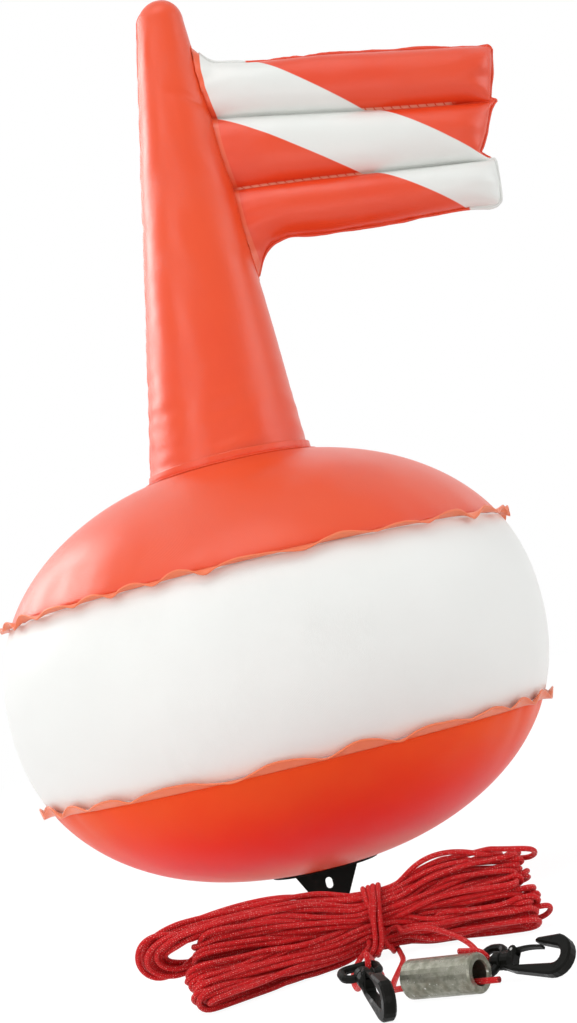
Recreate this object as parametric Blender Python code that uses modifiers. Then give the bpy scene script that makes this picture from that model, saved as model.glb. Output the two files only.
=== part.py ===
"""Inflatable dive buoy: a welded PVC float with a mast and flag, and the line set that lies before it.

Metres, +Z up. The float's axis is the Z axis, the flag flies towards +X and -Y is the front.
The origin is the centre of the keel tab's flat foot.
"""
import math

import bmesh
import bpy
import numpy as np
from mathutils import Matrix, Vector

OBJECT_NAME = "dive_buoy"

# Shared clearances and walls
GAP = 0.0003
PVC_WALL = 0.0006
MERGE = 0.00001
CURVE_STEPS = 24

# Keel: a round patch and a pierced tab under the float
PATCH_RADIUS = 0.0360
PATCH_THICKNESS = 0.0010
PATCH_RINGS = 2
TAB_HEIGHT = 0.0314
TAB_TOP_WIDTH = 0.0430
TAB_FOOT_WIDTH = 0.0100
TAB_THICKNESS = 0.0034
TAB_CORNER = 0.0012
TAB_HOLE_WIDTH = 0.0046
TAB_HOLE_LENGTH = 0.0078
TAB_HOLE_HEIGHT = 0.0225
TAB_HOLE_STEPS = 8

# Float: a superellipse of revolution in three welded panels, which stands on the keel
FLOAT_RADIUS = 0.1845
FLOAT_HALF_HEIGHT = 0.141
FLOAT_CENTRE_Z = TAB_HEIGHT + GAP + PATCH_THICKNESS + GAP + FLOAT_HALF_HEIGHT
FLOAT_POWER = 2.2
FLOAT_SEGMENTS = 40
DOME_RINGS = 5
BAND_RINGS = 4
UPPER_SEAM_HEIGHT = 0.063
LOWER_SEAM_HEIGHT = -0.063

# Welded margins of the panels, which stand out as ruffled flanges
FLANGE_PLY = 0.0011
FLANGE_CLEARANCE = 0.0007
UPPER_FLANGE_WIDTH = 0.0065
UPPER_FLANGE_DROOP = -0.0032
UPPER_FLANGE_RUFFLE = 0.0018
UPPER_FLANGE_WAVES = 32
LOWER_FLANGE_WIDTH = 0.0062
LOWER_FLANGE_DROOP = 0.0034
LOWER_FLANGE_RUFFLE = 0.0021
LOWER_FLANGE_WAVES = 25
POINTS_A_WAVE = 4

# Mast: a tapered tube that leans towards the flag
MAST_BASE_RADIUS = 0.0552
MAST_TIP_RADIUS = 0.0165
MAST_TIP_CAP = 0.0170
MAST_TOP_HEIGHT = 0.467
MAST_TIP_OFFSET = 0.0237
MAST_SEGMENTS = 28
MAST_RINGS = 2
CAP_RINGS = 4
MAST_STRIP_HEIGHT = 0.0060
MAST_STRIP_FOOT = 0.0055
MAST_STRIP_THICKNESS = 0.0006
MAST_STRIP_CORNER_RISE = 0.0004

# Flag: two sheets welded at the edges and along two lines, so that air makes three tubes.
# Heights are above the float's centre, as (distance from the axis, height).
FLAG_CLEARANCE = 0.0008
FLAG_LAP_EASE = 0.0025
FLAG_TUBE_HALF_DEPTH = 0.0135
FLAG_TUBE_ROUNDNESS = 0.8
FLAG_HOIST_DEPTH = 0.75
FLAG_HOIST_RUN = 0.2
FLAG_SETTLE_RUN = 1.0 / 6.0
FLAG_COLUMNS = 10
FLAG_CROWDING = 1.25
TUBE_ROWS = 5
FLAG_FLY_FULLNESS = 0.16
FLAG_BOTTOM_EDGE = [(0.0490, 0.2570), (0.0623, 0.2790), (0.0836, 0.2822), (0.1527, 0.2764), (0.2220, 0.2716)]
FLAG_LOWER_WELD = [(0.0441, 0.3253), (0.1061, 0.3184), (0.2235, 0.3036)]
FLAG_UPPER_WELD = [(0.0375, 0.3786), (0.1533, 0.3570), (0.2325, 0.3440)]
FLAG_TOP_EDGE = [(0.0380, 0.4340), (0.0513, 0.4157), (0.0779, 0.4096), (0.1270, 0.4037), (0.2430, 0.3830)]
FLAG_FLY_BULGE = 0.0060
FLAG_BULGE_POWER = 8

# Oral valve on the back of the upper dome
VALVE_ANGLE = math.radians(48.0)
VALVE_FLANGE_RADIUS = 0.0160
VALVE_FLANGE_THICKNESS = 0.0011
VALVE_STEM_RADIUS = 0.0070
VALVE_STEM_HEIGHT = 0.0150
VALVE_BORE_RADIUS = 0.0045
VALVE_EDGE = 0.0008
VALVE_STEM_TAPER = 0.0004
VALVE_FILLET_HEIGHT = 0.0020
VALVE_FILLET_WIDTH = 0.0022
VALVE_RIM_SHARE = 0.6
VALVE_SEAT_SHARE = 0.55
VALVE_SEGMENTS = 16
VALVE_DOME_HOLE_RADIUS = 0.0072
PLUG_CAP_RADIUS = 0.0082
PLUG_CAP_THICKNESS = 0.0022
PLUG_EDGE = 0.0010
PLUG_SPIGOT_LENGTH = 0.0080
PLUG_SPIGOT_CLEARANCE = 0.0003
PLUG_LEAD_LENGTH = 0.0015
PLUG_LEAD_WIDTH = 0.0012
FLAP_RADIUS = 0.0056
FLAP_THICKNESS = 0.0009
TETHER_WIDTH = 0.0040
TETHER_THICKNESS = 0.0012
TETHER_REACH = 0.0135
TETHER_RING_LIFT = 0.0060
TETHER_RING_WALL = 0.0018
TETHER_RING_CLEARANCE = 0.0006
TETHER_RING_TAPER = 0.0002
TETHER_RING_HEIGHT = 0.0026
TETHER_STUB = 0.0020
TETHER_BEND_RISE = 0.0034
TETHER_SPACING = 0.0014

# Snap hooks. The swivel axis is local X, from the eye to the nose, and the hook's plane is local XY.
EYE_BAR_RADIUS = 0.0021
EYE_WIDTH = 0.0220
EYE_HEIGHT = 0.0155
EYE_CORNER = 0.0042
EYE_BOSS_RADIUS = 0.0044
EYE_BOSS_LENGTH = 0.0046
EYE_BOSS_EDGE = 0.0006
EYE_CORNER_STEPS = 4
POST_RADIUS = 0.0021
POST_CLEARANCE = 0.00025
POST_HEAD_RADIUS = 0.0034
POST_HEAD_LENGTH = 0.0016
POST_HEAD_EDGE = 0.0002
POST_HEAD_TAPER = 0.8
COLLAR_RADIUS = 0.0047
COLLAR_LENGTH = 0.0072
COLLAR_NOSE_SHARE = 0.72
COLLAR_EDGE = 0.0008
COLLAR_EDGE_LENGTH = 0.0012
HOOK_LENGTH = 0.0400
HOOK_THICKNESS = 0.0062
HOOK_EDGE_ROUND = 0.0011
HOOK_SEGMENTS = 16
SPINE_WIDTH = 0.0052
MOUTH_HEIGHT = 0.0088
MOUTH_DROP = 0.36
NOSE_WIDTH = 0.0058
NOSE_TIP_X = 0.0185
NOSE_TIP_RISE = 0.86
NOSE_TIP_DEPTH = 0.0021
PIVOT_X = 0.0056
PIVOT_Y = 0.0046
PIN_RADIUS = 0.0008
PIN_CLEARANCE = 0.00015
EAR_RADIUS = 0.0024
SLOT_MARGIN = 0.0060
SLOT_SHIFT = (0.0018, 0.0030)
GATE_WIDTH = 0.0030
GATE_SIDE_CLEARANCE = 0.00035
GATE_THICKNESS = 0.0013
GATE_KNUCKLE_RADIUS = 0.0017
GATE_BOW = 0.0008
GATE_TIP_LAP = 0.0036
GATE_TIP_EASE = 0.0004
GATE_ROOT_SHARE = 1.25
GATE_STEPS = 7
PIN_SEGMENTS = 12
PIN_RECESS = 0.0003

# Where each hook lies: swivel point, heading, dip of its nose, roll of the hook and roll of its eye
LEFT_HOOK_AT = (0.0059, -0.3982)
LEFT_HOOK_HEADING = math.radians(-78.0)
LEFT_HOOK_DIP = math.radians(16.0)
LEFT_HOOK_ROLL = math.radians(84.0)
LEFT_EYE_ROLL = math.radians(0.0)
LEFT_HITCH_SIDE = 0.0045
RIGHT_HOOK_AT = (0.0715, -0.3960)
RIGHT_HOOK_HEADING = math.radians(-42.0)
RIGHT_HOOK_DIP = math.radians(2.0)
RIGHT_HOOK_ROLL = math.radians(52.0)
RIGHT_EYE_ROLL = math.radians(30.0)
RIGHT_HITCH_SIDE = 0.0010

# Line weight
WEIGHT_RADIUS = 0.0095
WEIGHT_BORE_RADIUS = 0.0057
WEIGHT_LENGTH = 0.0420
WEIGHT_CHAMFER = 0.0009
WEIGHT_SEGMENTS = 28
WEIGHT_AT = (0.0430, -0.4000)
WEIGHT_HEADING = math.radians(-42.0)

# Line: one cord, put up in a hank that is drawn in at the waist and tied there
CORD_DIAMETER = 0.0030
CORD_CLEARANCE = 0.0006
HITCH_CLEARANCE = 0.0010
HANK_LAYERS = 4
LOOPS_A_LAYER = 5
POINTS_A_LOOP = 24
RUN_POINTS = 7
REVERSAL = 0.5
HANK_STEP = 0.0043
HANK_INNER_RADIUS = 0.0025
HANK_HALF_RUN = 0.0900
HANK_LAYER_STEP = 0.0068
HANK_FAN_SPREAD = 0.95
HANK_FAN_LIFT = 0.75
HANK_CENTRE_Y = -0.2220
HANK_BEND = 0.0340
HANK_OUTER_STEPS = 2
WAIST_X = 0.0220
TIE_TURNS = 4
TIE_PITCH = 0.0042
TIE_CORNER_STEPS = 3
TIE_START_RISE = 0.0030
WEIGHT_LEAD_STRAIGHT = 0.0080
STUB_LENGTH = 0.0100
ROUTE_SPACING = 0.0088
ROUTE_TURN = math.radians(28.0)
HITCH_TURNS = ((-100.0, -1.0), (-50.0, -0.5), (0.0, 0.0), (50.0, 0.5), (100.0, 1.0))
HITCH_LEAN = 0.6
HITCH_TAIL_LEAN = 0.8
HANK_EASE_POWER = 1.6
HANK_END_MARGIN = 0.0100
SELF_GAP_APART = 0.0120

# Hand-chosen points of the free stretches, between the ends that the pieces themselves give
LEFT_LEAD_OUT = [(-0.0090, -0.2520, 0.0042), (-0.0145, -0.2600, 0.0024), (-0.0135, -0.2820, 0.0020),
                 (-0.0080, -0.3150, 0.0022), (0.0000, -0.3500, 0.0056)]
LEFT_LEAD_BACK = [(0.0125, -0.3600, 0.0160), (0.0150, -0.3300, 0.0056), (0.0130, -0.3000, 0.0022),
                  (0.0105, -0.2750, 0.0020), (0.0120, -0.2585, 0.0022)]
WEIGHT_LEAD = [(0.0290, -0.2700, 0.0019), (0.0250, -0.3000, 0.0019), (0.0200, -0.3350, 0.0020),
               (0.0185, -0.3620, 0.0028)]
RIGHT_LEAD = [(0.0625, -0.2690, 0.0266), (0.0705, -0.2830, 0.0182), (0.0725, -0.3010, 0.0070),
              (0.0660, -0.3250, 0.0024), (0.0590, -0.3500, 0.0022), (0.0590, -0.3680, 0.0040)]
RIGHT_TAIL_LENGTH = 0.0120


def new_collection(name):
    """Link a new collection to the scene."""
    collection = bpy.data.collections.new(name)
    bpy.context.scene.collection.children.link(collection)
    return collection


def make_material(name, colour, roughness, metallic=0.0):
    """Return a Principled material."""
    material = bpy.data.materials.new(name)
    material.use_nodes = True
    shader = material.node_tree.nodes["Principled BSDF"]
    shader.inputs["Base Color"].default_value = (*colour, 1.0)
    shader.inputs["Roughness"].default_value = roughness
    shader.inputs["Metallic"].default_value = metallic
    return material


def link_mesh(name, mesh, material, collection):
    """Make an object of a mesh, dressed and linked."""
    mesh.materials.clear()
    mesh.materials.append(material)
    obj = bpy.data.objects.new(name, mesh)
    collection.objects.link(obj)
    return obj


def set_smooth(mesh):
    """Shade a mesh smooth, with its sharp edges kept."""
    mesh.shade_smooth()
    mesh.set_sharp_from_angle(angle=math.radians(35.0))


def mesh_from(name, work):
    """Return a mesh of a bmesh, and free the bmesh."""
    mesh = bpy.data.meshes.new(name)
    work.to_mesh(mesh)
    work.free()
    return mesh


def modified_mesh(obj):
    """Return a new mesh of an object as its modifiers leave it, in its own space."""
    depsgraph = bpy.context.evaluated_depsgraph_get()
    return bpy.data.meshes.new_from_object(obj.evaluated_get(depsgraph))


def taken_mesh(obj):
    """Return an object's mesh as its modifiers leave it, with doubled points merged, and remove the object."""
    mesh = modified_mesh(obj)
    bpy.data.objects.remove(obj)
    work = bmesh.new()
    work.from_mesh(mesh)
    bmesh.ops.remove_doubles(work, verts=work.verts, dist=MERGE)
    work.to_mesh(mesh)
    work.free()
    return mesh


def turned(name, profile, segments, material, collection, closed=False):
    """Turn a profile of (radius, height) points about local Z with a Screw modifier."""
    mesh = bpy.data.meshes.new(name)
    points = [(radius, 0.0, height) for radius, height in profile]
    edges = [(index, index + 1) for index in range(len(points) - 1)]
    if closed:
        edges.append((len(points) - 1, 0))
    mesh.from_pydata(points, edges, [])
    obj = link_mesh(name, mesh, material, collection)
    screw = obj.modifiers.new("turn", "SCREW")
    screw.steps = segments
    screw.render_steps = segments
    screw.use_merge_vertices = True
    screw.merge_threshold = MERGE
    screw.use_smooth_shade = True
    return obj


def add_wall(obj, thickness, offset=-1.0, even=True):
    """Give an open surface its wall, inward at an offset of -1, outward at 1 and both ways at 0."""
    wall = obj.modifiers.new("wall", "SOLIDIFY")
    wall.thickness = thickness
    wall.offset = offset
    wall.use_even_offset = even
    return obj


def boolean(obj, other, operation):
    """Cut or join an object with another by an exact Boolean, and keep the result as its mesh."""
    modifier = obj.modifiers.new("boolean", "BOOLEAN")
    modifier.operation = operation
    modifier.solver = "EXACT"
    modifier.object = other
    mesh = modified_mesh(obj)
    obj.modifiers.clear()
    obj.data = mesh
    bpy.data.objects.remove(other)
    return obj


def smooth_curve(points):
    """Return a fine polyline of the smooth curve through the route's own points."""
    knots = [Vector(point) for point in points]
    ends = [2.0 * knots[0] - knots[1]] + knots + [2.0 * knots[-1] - knots[-2]]
    fine = []
    for before, start, end, after in zip(ends, ends[1:], ends[2:], ends[3:]):
        for step in range(CURVE_STEPS):
            t = step / CURVE_STEPS
            fine.append(0.5 * (2.0 * start + (end - before) * t
                               + (2.0 * before - 5.0 * start + 4.0 * end - after) * t * t
                               + (3.0 * start - before - 3.0 * end + after) * t ** 3))
    fine.append(knots[-1])
    return fine


def evenly(fine, spacing):
    """Read evenly spaced points from a fine polyline, its ends included."""
    lengths = [0.0]
    for one, two in zip(fine, fine[1:]):
        lengths.append(lengths[-1] + (two - one).length)
    count = max(2, round(lengths[-1] / spacing))
    table = np.array([tuple(point) for point in fine])
    marks = np.linspace(0.0, lengths[-1], count + 1)
    columns = [np.interp(marks, lengths, table[:, axis]) for axis in range(3)]
    return [Vector(row) for row in zip(*columns)]


def thinned(fine, spacing, turn):
    """Keep a fine polyline's points a spacing apart, or closer where it turns by more than an angle."""
    kept = [fine[0]]
    run, bend = 0.0, 0.0
    for before, here, after in zip(fine, fine[1:], fine[2:]):
        run += (here - before).length
        bend += (after - here).angle(here - before, 0.0)
        if run >= spacing or bend >= turn:
            kept.append(here)
            run, bend = 0.0, 0.0
    kept.append(fine[-1])
    return kept


def tube(name, points, radius, resolution, material, collection):
    """Run a round tube along a POLY spline, with filled ends."""
    curve = bpy.data.curves.new(name, "CURVE")
    curve.dimensions = "3D"
    curve.bevel_depth = radius
    curve.bevel_resolution = resolution
    curve.use_fill_caps = True
    spline = curve.splines.new("POLY")
    spline.points.add(len(points) - 1)
    for spot, point in zip(spline.points, points):
        spot.co = (*point, 1.0)
    curve.materials.append(material)
    obj = bpy.data.objects.new(name, curve)
    collection.objects.link(obj)
    return obj


def float_height(radius):
    """Height of the float's surface above its centre at a distance from its axis."""
    share = (radius / FLOAT_RADIUS) ** FLOAT_POWER
    return FLOAT_HALF_HEIGHT * (1.0 - share) ** (1.0 / FLOAT_POWER)


def float_radius(height):
    """Distance of the float's surface from its axis at a height above its centre."""
    share = (abs(height) / FLOAT_HALF_HEIGHT) ** FLOAT_POWER
    return FLOAT_RADIUS * (1.0 - share) ** (1.0 / FLOAT_POWER)


def float_angle(height):
    """Superellipse angle of a height above the float's centre."""
    share = (abs(height) / FLOAT_HALF_HEIGHT) ** (FLOAT_POWER / 2.0)
    return math.copysign(math.asin(min(1.0, share)), height)


def float_point(angle):
    """Point (radius, world height) of the float's section at a superellipse angle."""
    power = 2.0 / FLOAT_POWER
    radius = FLOAT_RADIUS * max(0.0, math.cos(angle)) ** power
    height = math.copysign(FLOAT_HALF_HEIGHT * abs(math.sin(angle)) ** power, angle)
    return radius, FLOAT_CENTRE_Z + height


def float_section(top, bottom, rings):
    """Section points between two superellipse angles, from the top down."""
    return [float_point(top + (bottom - top) * ring / rings) for ring in range(rings + 1)]


def build_float(collection, orange, white):
    """Make the three welded panels."""
    half_gap = GAP / 2.0
    pole = math.pi / 2.0
    upper_rim = float_angle(UPPER_SEAM_HEIGHT + half_gap)
    band_top = float_angle(UPPER_SEAM_HEIGHT - half_gap)
    band_bottom = float_angle(LOWER_SEAM_HEIGHT + half_gap)
    lower_rim = float_angle(LOWER_SEAM_HEIGHT - half_gap)
    upper = float_section(pole, upper_rim, DOME_RINGS)
    upper[0] = (0.0, upper[0][1])
    lower = float_section(lower_rim, -pole, DOME_RINGS)
    lower[-1] = (0.0, lower[-1][1])
    band = float_section(band_top, band_bottom, BAND_RINGS)
    dome = add_wall(turned("upper_dome", upper, FLOAT_SEGMENTS, orange, collection), PVC_WALL)
    add_wall(turned("white_band", band, FLOAT_SEGMENTS, white, collection), PVC_WALL)
    add_wall(turned("lower_dome", lower, FLOAT_SEGMENTS, orange, collection), PVC_WALL)
    return dome


def build_flange(name, seam, width, droop, ruffle, waves, material, collection):
    """Make a ruffled ring: a flat annulus whose free edge droops and waves, with a wall."""
    segments = waves * POINTS_A_WAVE
    inner = float_radius(seam) + FLANGE_CLEARANCE
    work = bmesh.new()
    bmesh.ops.create_circle(work, cap_ends=False, segments=segments, radius=inner)
    rim = bmesh.ops.extrude_edge_only(work, edges=work.edges[:])
    free_edge = [item for item in rim["geom"] if isinstance(item, bmesh.types.BMVert)]
    for vertex in work.verts:
        vertex.co.z = FLOAT_CENTRE_Z + seam
    for vertex in free_edge:
        angle = math.atan2(vertex.co.y, vertex.co.x)
        stretch = (inner + width) / inner
        vertex.co.x *= stretch
        vertex.co.y *= stretch
        vertex.co.z += droop + ruffle * math.cos(waves * angle)
    bmesh.ops.recalc_face_normals(work, faces=work.faces)
    return add_wall(link_mesh(name, mesh_from(name, work), material, collection), FLANGE_PLY, 0.0, even=False)


def mast_base_height():
    """World height of the mast's open foot, just clear of the dome."""
    return FLOAT_CENTRE_Z + float_height(MAST_BASE_RADIUS - 2.0 * PVC_WALL) + GAP


def mast_shoulder_height():
    """World height where the mast's taper ends and its round cap begins."""
    return FLOAT_CENTRE_Z + MAST_TOP_HEIGHT - MAST_TIP_CAP


def mast_lean():
    """Sideways run of the mast for each metre of height."""
    return MAST_TIP_OFFSET / (mast_shoulder_height() - mast_base_height())


def mast_radius(height):
    """Radius of the taper at a world height."""
    share = (height - mast_base_height()) / (mast_shoulder_height() - mast_base_height())
    return MAST_BASE_RADIUS + (MAST_TIP_RADIUS - MAST_BASE_RADIUS) * share


def mast_axis_x(height):
    """X of the mast's axis at a world height."""
    return mast_lean() * (height - mast_base_height())


def lean_mesh(mesh):
    """Shear a mesh that was turned about Z so that it follows the leaning mast."""
    for vertex in mesh.vertices:
        vertex.co.x += mast_axis_x(vertex.co.z)
    mesh.update()
    return mesh


def build_mast(collection, orange):
    """Make the mast and the weld strip round its foot."""
    base = mast_base_height()
    shoulder = mast_shoulder_height()
    profile = []
    for ring in range(CAP_RINGS):
        angle = math.pi / 2.0 * (1.0 - ring / CAP_RINGS)
        profile.append((MAST_TIP_RADIUS * math.cos(angle), shoulder + MAST_TIP_CAP * math.sin(angle)))
    profile[0] = (0.0, shoulder + MAST_TIP_CAP)
    for ring in range(MAST_RINGS + 1):
        height = shoulder + (base - shoulder) * ring / MAST_RINGS
        profile.append((mast_radius(height), height))
    straight = turned("mast", profile, MAST_SEGMENTS, orange, collection)
    mesh = lean_mesh(taken_mesh(straight))
    set_smooth(mesh)
    add_wall(link_mesh("mast", mesh, orange, collection), PVC_WALL)

    wall = MAST_STRIP_THICKNESS
    corner = MAST_BASE_RADIUS + GAP + wall
    foot = MAST_BASE_RADIUS + MAST_STRIP_FOOT
    lift = GAP + wall
    top = base + MAST_STRIP_HEIGHT
    middle = MAST_BASE_RADIUS + MAST_STRIP_FOOT * 0.5
    strip = [
        (mast_radius(top) + GAP + wall, top),
        (corner, base + lift + MAST_STRIP_CORNER_RISE),
        (middle, FLOAT_CENTRE_Z + float_height(middle) + lift),
        (foot, FLOAT_CENTRE_Z + float_height(foot) + lift),
    ]
    straight = turned("mast_weld_strip", strip, MAST_SEGMENTS, orange, collection)
    mesh = lean_mesh(taken_mesh(straight))
    set_smooth(mesh)
    add_wall(link_mesh("mast_weld_strip", mesh, orange, collection), wall)


def read_line(points, share):
    """Read a polyline at a share of its run in X."""
    xs = [point[0] for point in points]
    x = xs[0] + (xs[-1] - xs[0]) * share
    return x, float(np.interp(x, xs, [point[1] for point in points]))


def flag_point(share, row, side):
    """Point of one sheet's outer face: share runs from hoist to fly, row runs up through the tubes."""
    lines = [FLAG_BOTTOM_EDGE, FLAG_LOWER_WELD, FLAG_UPPER_WELD, FLAG_TOP_EDGE]
    tube_index = min(2, int(row // TUBE_ROWS))
    across = row / TUBE_ROWS - tube_index
    blend = (1.0 - math.cos(math.pi * across)) / 2.0
    low = read_line(lines[tube_index], share)
    high = read_line(lines[tube_index + 1], share)
    round_share = math.sin(math.pi * across)
    x = low[0] + (high[0] - low[0]) * blend + FLAG_FLY_BULGE * round_share * share ** FLAG_BULGE_POWER
    height = FLOAT_CENTRE_Z + low[1] + (high[1] - low[1]) * blend
    fullness = min(1.0, (1.0 - share) / FLAG_FLY_FULLNESS)
    fly_taper = math.sqrt(1.0 - (1.0 - fullness) ** 2)
    hoist_taper = FLAG_HOIST_DEPTH + (1.0 - FLAG_HOIST_DEPTH) * min(1.0, share / FLAG_HOIST_RUN)
    depth = FLAG_TUBE_HALF_DEPTH * round_share ** FLAG_TUBE_ROUNDNESS * fly_taper * hoist_taper
    reach = mast_radius(height) + FLAG_CLEARANCE
    lap = max(0.0, depth - FLAG_LAP_EASE)
    hoist_x = mast_axis_x(height) + math.sqrt(reach ** 2 - lap ** 2)
    x += (hoist_x - x) * max(0.0, 1.0 - share / FLAG_SETTLE_RUN)
    return x, side * (GAP / 2.0 + depth), height


def build_flag_sheet(name, side, material, collection):
    """Loft one sheet through its tubes and weld lines."""
    rows = 3 * TUBE_ROWS
    work = bmesh.new()
    grid = []
    for column in range(FLAG_COLUMNS + 1):
        share = column / FLAG_COLUMNS
        share = share ** FLAG_CROWDING if share < 0.5 else 1.0 - (1.0 - share) ** FLAG_CROWDING
        grid.append([work.verts.new(flag_point(share, row, side)) for row in range(rows + 1)])
    for left, right in zip(grid, grid[1:]):
        for row in range(rows):
            work.faces.new((left[row], right[row], right[row + 1], left[row + 1]))
    bmesh.ops.recalc_face_normals(work, faces=work.faces)
    if sum(face.normal.y for face in work.faces) * side < 0.0:
        bmesh.ops.reverse_faces(work, faces=work.faces)
    mesh = mesh_from(name, work)
    set_smooth(mesh)
    return add_wall(link_mesh(name, mesh, material, collection), PVC_WALL, 1.0)


def build_keel(collection, black):
    """Make the round patch and the pierced tab."""
    rim = []
    for ring in range(PATCH_RINGS + 1):
        radius = PATCH_RADIUS * ring / PATCH_RINGS
        rim.append((radius, FLOAT_CENTRE_Z - float_height(radius) - GAP))
    under = [(radius, height - PATCH_THICKNESS) for radius, height in reversed(rim)]
    turned("keel_patch", rim + under, FLOAT_SEGMENTS, black, collection)

    half_top = TAB_TOP_WIDTH / 2.0
    half_foot = TAB_FOOT_WIDTH / 2.0
    lean = (half_top - half_foot) / TAB_HEIGHT
    corner = TAB_CORNER
    outline = [
        (-half_top, TAB_HEIGHT), (-half_foot - lean * corner, corner), (-half_foot + corner, 0.0),
        (half_foot - corner, 0.0), (half_foot + lean * corner, corner), (half_top, TAB_HEIGHT),
    ]
    end_radius = TAB_HOLE_WIDTH / 2.0
    end_offset = (TAB_HOLE_LENGTH - TAB_HOLE_WIDTH) / 2.0
    hole = (arc((0.0, TAB_HOLE_HEIGHT + end_offset), end_radius, 0.0, 180.0, TAB_HOLE_STEPS)
            + arc((0.0, TAB_HOLE_HEIGHT - end_offset), end_radius, 180.0, 360.0, TAB_HOLE_STEPS))
    mesh = flat_plate("keel_tab", [outline, hole], TAB_THICKNESS)
    mesh.transform(Matrix.Rotation(math.pi / 2.0, 4, "X"))
    link_mesh("keel_tab", mesh, black, collection)


def flat_plate(name, outlines, thickness):
    """Fill flat outlines, holes included, and extrude them about their plane."""
    curve = bpy.data.curves.new(name, "CURVE")
    curve.dimensions = "2D"
    curve.fill_mode = "BOTH"
    curve.extrude = thickness / 2.0
    for outline in outlines:
        spline = curve.splines.new("POLY")
        spline.points.add(len(outline) - 1)
        for spot, point in zip(spline.points, outline):
            spot.co = (point[0], point[1], 0.0, 1.0)
        spline.use_cyclic_u = True
    obj = bpy.data.objects.new(name, curve)
    bpy.context.scene.collection.objects.link(obj)
    mesh = taken_mesh(obj)
    bpy.data.curves.remove(curve)
    return mesh


def valve_frame():
    """Frame on the back of the upper dome: local Z is the outward normal and local Y runs uphill."""
    radius, height = float_point(VALVE_ANGLE)
    above = height - FLOAT_CENTRE_Z
    power = FLOAT_POWER - 1.0
    slope = Vector((0.0, radius ** power / FLOAT_RADIUS ** FLOAT_POWER,
                    above ** power / FLOAT_HALF_HEIGHT ** FLOAT_POWER)).normalized()
    across = Vector((-1.0, 0.0, 0.0))
    uphill = slope.cross(across)
    frame = Matrix((across, uphill, slope)).transposed().to_4x4()
    frame.translation = Vector((0.0, radius, height))
    return frame


def add_empty(name, frame, collection):
    """Add an empty that carries pieces in its own frame."""
    empty = bpy.data.objects.new(name, None)
    collection.objects.link(empty)
    empty.matrix_world = frame
    return empty


def build_valve(collection, cutters, dome, clear):
    """Make the valve body, flap, stopper plug and its strap, and open the dome under them."""
    frame = valve_frame()
    empty = add_empty("valve_frame", frame, collection)
    base = GAP
    rim_drop = VALVE_FLANGE_RADIUS ** 2 / (2.0 * FLOAT_RADIUS)
    flange_top = base + VALVE_FLANGE_THICKNESS
    stem_top = base + VALVE_STEM_HEIGHT
    body_profile = [
        (VALVE_BORE_RADIUS, stem_top),
        (VALVE_STEM_RADIUS - VALVE_EDGE, stem_top),
        (VALVE_STEM_RADIUS, stem_top - VALVE_EDGE),
        (VALVE_STEM_RADIUS + VALVE_STEM_TAPER, flange_top + VALVE_FILLET_HEIGHT),
        (VALVE_STEM_RADIUS + VALVE_FILLET_WIDTH, flange_top),
        (VALVE_FLANGE_RADIUS, base + VALVE_FLANGE_THICKNESS * VALVE_RIM_SHARE - rim_drop),
        (VALVE_FLANGE_RADIUS, base - rim_drop),
        (VALVE_FLANGE_RADIUS * VALVE_SEAT_SHARE, base),
        (VALVE_BORE_RADIUS, base),
    ]
    body = turned("valve_body", body_profile, VALVE_SEGMENTS, clear, collection, closed=True)
    body.parent = empty

    disc = [(0.0, FLAP_THICKNESS), (FLAP_RADIUS, FLAP_THICKNESS), (FLAP_RADIUS, 0.0), (0.0, 0.0)]
    mesh = taken_mesh(turned("valve_flap", disc, VALVE_SEGMENTS, clear, collection))
    mesh.transform(Matrix.Translation((0.0, -FLAP_RADIUS, -FLAP_THICKNESS)))
    flap = link_mesh("valve_flap", mesh, clear, collection)
    flap.parent = empty
    flap.location = (0.0, FLAP_RADIUS, base - GAP)

    cap_base = stem_top + GAP
    cap_top = cap_base + PLUG_CAP_THICKNESS
    spigot = VALVE_BORE_RADIUS - PLUG_SPIGOT_CLEARANCE
    spigot_end = cap_base - PLUG_SPIGOT_LENGTH
    plug_profile = [
        (0.0, cap_top),
        (PLUG_CAP_RADIUS - PLUG_EDGE, cap_top),
        (PLUG_CAP_RADIUS, cap_top - PLUG_EDGE),
        (PLUG_CAP_RADIUS, cap_base),
        (spigot, cap_base),
        (spigot, spigot_end + PLUG_LEAD_LENGTH),
        (spigot - PLUG_LEAD_WIDTH, spigot_end),
        (0.0, spigot_end),
    ]
    plug = turned("valve_plug", plug_profile, VALVE_SEGMENTS, clear, collection)
    plug.parent = empty

    build_tether(flange_top + TETHER_RING_LIFT, cap_base + PLUG_CAP_THICKNESS / 2.0, clear, collection).parent = empty

    work = bmesh.new()
    bmesh.ops.create_cone(work, cap_ends=True, segments=VALVE_SEGMENTS, radius1=VALVE_DOME_HOLE_RADIUS,
                          radius2=VALVE_DOME_HOLE_RADIUS, depth=VALVE_FLANGE_RADIUS)
    cutter = bpy.data.objects.new("dome_hole_cutter", mesh_from("dome_hole", work))
    cutters.objects.link(cutter)
    cutter.matrix_world = frame
    cutter.hide_render = True
    cutter.display_type = "WIRE"
    cut = dome.modifiers.new("valve_hole", "BOOLEAN")
    cut.operation = "DIFFERENCE"
    cut.solver = "EXACT"
    cut.object = cutter


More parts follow.
